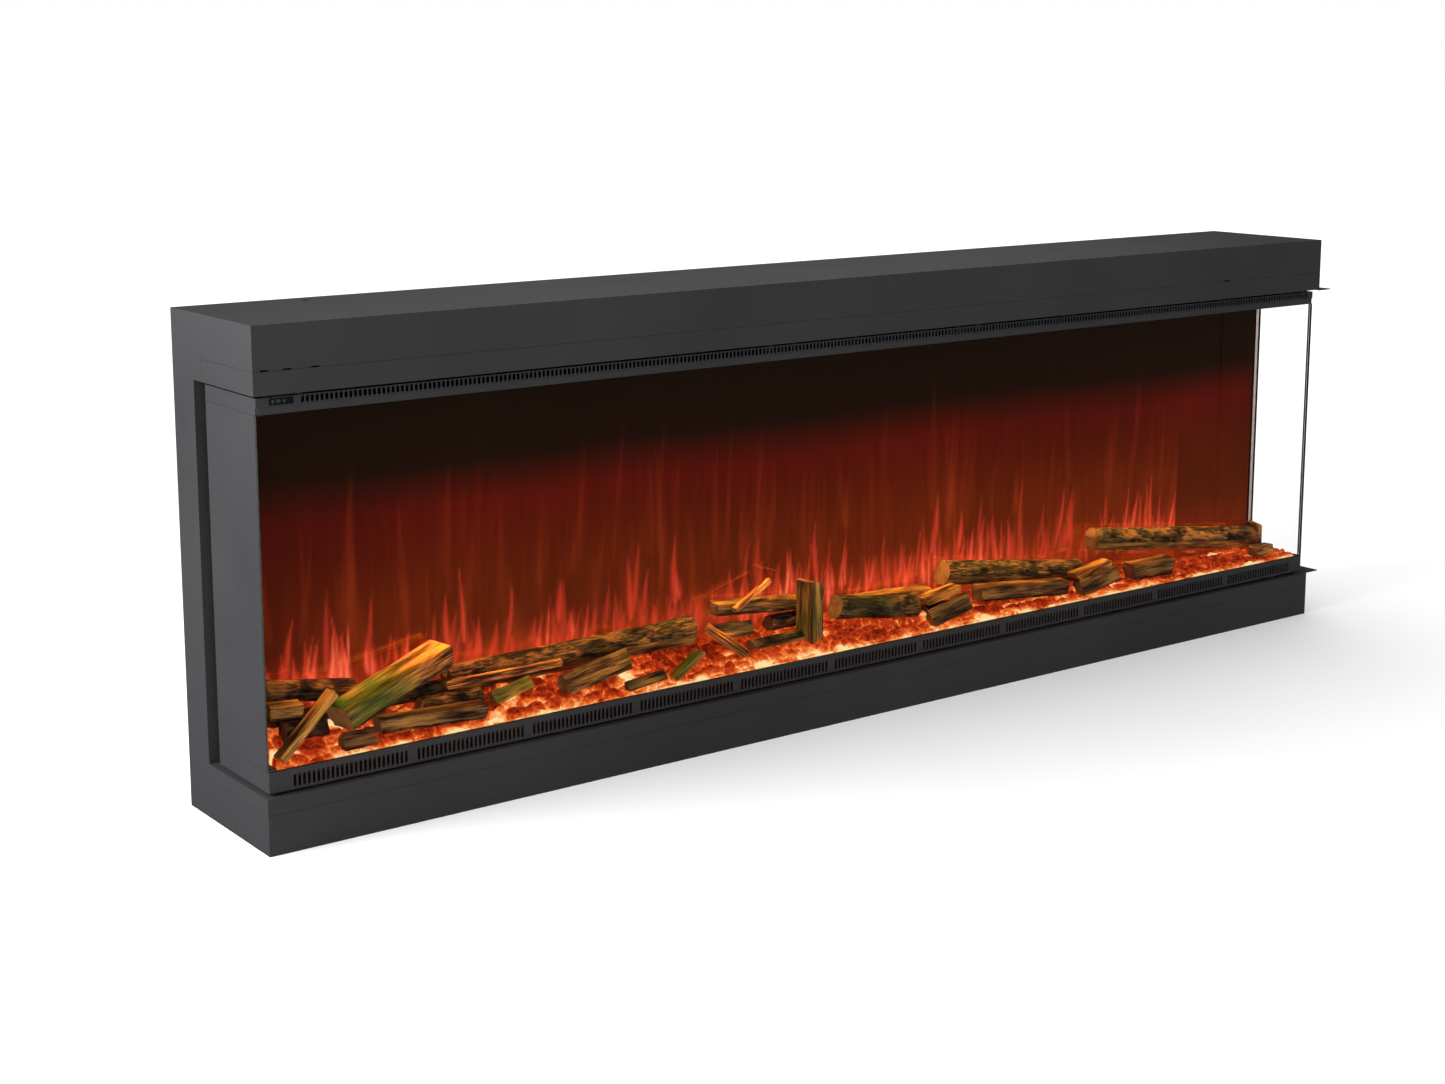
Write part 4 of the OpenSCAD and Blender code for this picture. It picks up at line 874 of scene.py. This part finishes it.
chance = np.random.default_rng(2024)
picture_end = 0.903
faint = np.zeros_like(x)
for _ in range(150):
    foot = diffuser_low.x + chance.uniform(0.0, picture_end) * (diffuser_high.x - diffuser_low.x)
    faint += leaf(x, z, foot, picture_foot + chance.uniform(10, 130) * MM, chance.uniform(70, 220) * MM,
                  chance.uniform(3, 9) * MM, chance.uniform(-16, 22) * MM, chance.uniform(-5, 5) * MM,
                  chance.uniform(0.1, 0.42))
bright = np.zeros_like(x)
for _ in range(330):
    foot = chance.uniform(0.0, picture_end)
    crowd = 0.55 + 0.45 * math.sin(23 * foot) * math.sin(9 * foot + 1)
    foot = diffuser_low.x + foot * (diffuser_high.x - diffuser_low.x)
    tall = chance.uniform(28, 56) * MM * (1 + 1.2 * crowd * chance.uniform(0, 1) ** 2)
    bright = np.maximum(bright, leaf(x, z, foot, picture_foot + chance.uniform(0, 36) * MM, tall,
                                     chance.uniform(2.0, 5.5) * MM, chance.uniform(-11, 14) * MM,
                                     chance.uniform(-4, 4) * MM,
                                     (0.3 + 0.7 * crowd) * chance.uniform(0.45, 1.2)))
for _ in range(40):
    foot = diffuser_low.x + chance.uniform(0.02, picture_end) * (diffuser_high.x - diffuser_low.x)
    bright = np.maximum(bright, leaf(x, z, foot, picture_foot + chance.uniform(20, 60) * MM,
                                     chance.uniform(50, 110) * MM, chance.uniform(3, 7) * MM,
                                     chance.uniform(-8, 14) * MM, chance.uniform(-5, 5) * MM,
                                     chance.uniform(0.35, 0.7)))
live = np.clip((picture_end - from_left) / 0.001, 0, 1)
haze = np.exp(-((height - 0.07) / 0.07) ** 2) * (0.55 + 0.45 * lattice(x / (60 * MM), z * 0 + 2.5, 93))
faint, bright, haze = faint * live, bright * live, haze * (0.25 + 0.75 * live)
picture *= (1 - 0.35 * (1 - live) * np.clip((0.62 - height) / 0.3, 0, 1))[..., None]
picture += faint[..., None] * np.array([0.24, 0.034, 0.007])
picture += haze[..., None] * np.array([0.34, 0.040, 0.014])
picture += bright[..., None] * np.array([1.6, 0.125, 0.072])
picture += (np.clip(bright - 0.42, 0, 1) ** 1.3)[..., None] * np.array([1.2, 1.1, 0.60])
print("flame picture: brightest", picture.max().round(2), "mean", picture.mean((0, 1)).round(3))

# %% Put the picture on the diffuser
flame_light, tree, shader = start("opal diffuser with the flame picture", Roughness=0.5,
                                  Base_Color=paint("#140805"), Emission_Strength=1.6)
stored = add(tree, "Attribute", attribute_name="picture")
streak = add(tree, "MapRange", {"Value": grain(tree, 7, (1, 1, 0.07), detail=4), "From Min": 0.3,
                                "From Max": 0.7, "To Min": 0.82, "To Max": 1.18})
shade = add(tree, "VectorMath", {0: stored.outputs["Color"], "Scale": streak.outputs[0]}, operation="SCALE")
tree.links.new(shade.outputs[0], shader.inputs["Emission Color"])
wire(tree, shader, height=grain(tree, 3), depth_mm=0.05)

front_face = np.stack([x, np.full_like(x, diffuser_low.y), z], 2).reshape(-1, 3)
back_face = front_face + (0, diffuser_high.y - diffuser_low.y, 0)
quads = grid_quads(columns, rows_up)
rim = np.concatenate([np.arange(columns) * rows_up, (columns - 1) * rows_up + np.arange(1, rows_up),
                      np.arange(columns - 2, -1, -1) * rows_up + rows_up - 1, np.arange(rows_up - 2, 0, -1)])
first = len(front_face)
points = np.concatenate([front_face, back_face[rim]])
here = np.arange(len(rim))
ahead = np.roll(here, -1)
skirt = np.stack([rim, first + here, first + ahead, rim[ahead]], 1)
back_cap = first + here[::-1][None, :]
colours = np.concatenate([picture.reshape(-1, 3), np.full((len(rim), 3), 0.02)])
colours = np.concatenate([colours, np.ones((len(colours), 1))], 1)
diffuser = make_piece("flame_picture_diffuser", points, [quads, skirt, back_cap],
                      [flame_light], attributes={"picture": colours})
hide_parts("flame_diffuser")

# %% [markdown]
# ## Light inside the fire
#
# The glowing bed and the picture light the logs from below and behind. A warm row of light sources under
# the ceiling lights their tops. In the render a long lamp stands for that row, because hundreds of tiny
# glowing squares would only add speckle.

# %% Warm lamp under the ceiling
ceiling_low, ceiling_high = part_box("firebox_ceiling")
strip_low, strip_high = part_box("downlight_led_strip")
lamp_y = (strip_low.y + strip_high.y) / 2
lamp_x = (ceiling_low.x + ceiling_high.x) / 2
lamp = area_light("warm down light", (lamp_x, lamp_y, ceiling_low.z - 6 * MM),
                  (lamp_x, lamp_y + 0.10, log_foot), (1.7, 0.012), 3.2, "#ffc98a")
lamp.data.spread = math.radians(32)
lamp.visible_glossy = False

# %% Print the visual box and finish
low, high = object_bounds()
print("visual box, mm:", [round(v / MM, 1) for v in high - low])
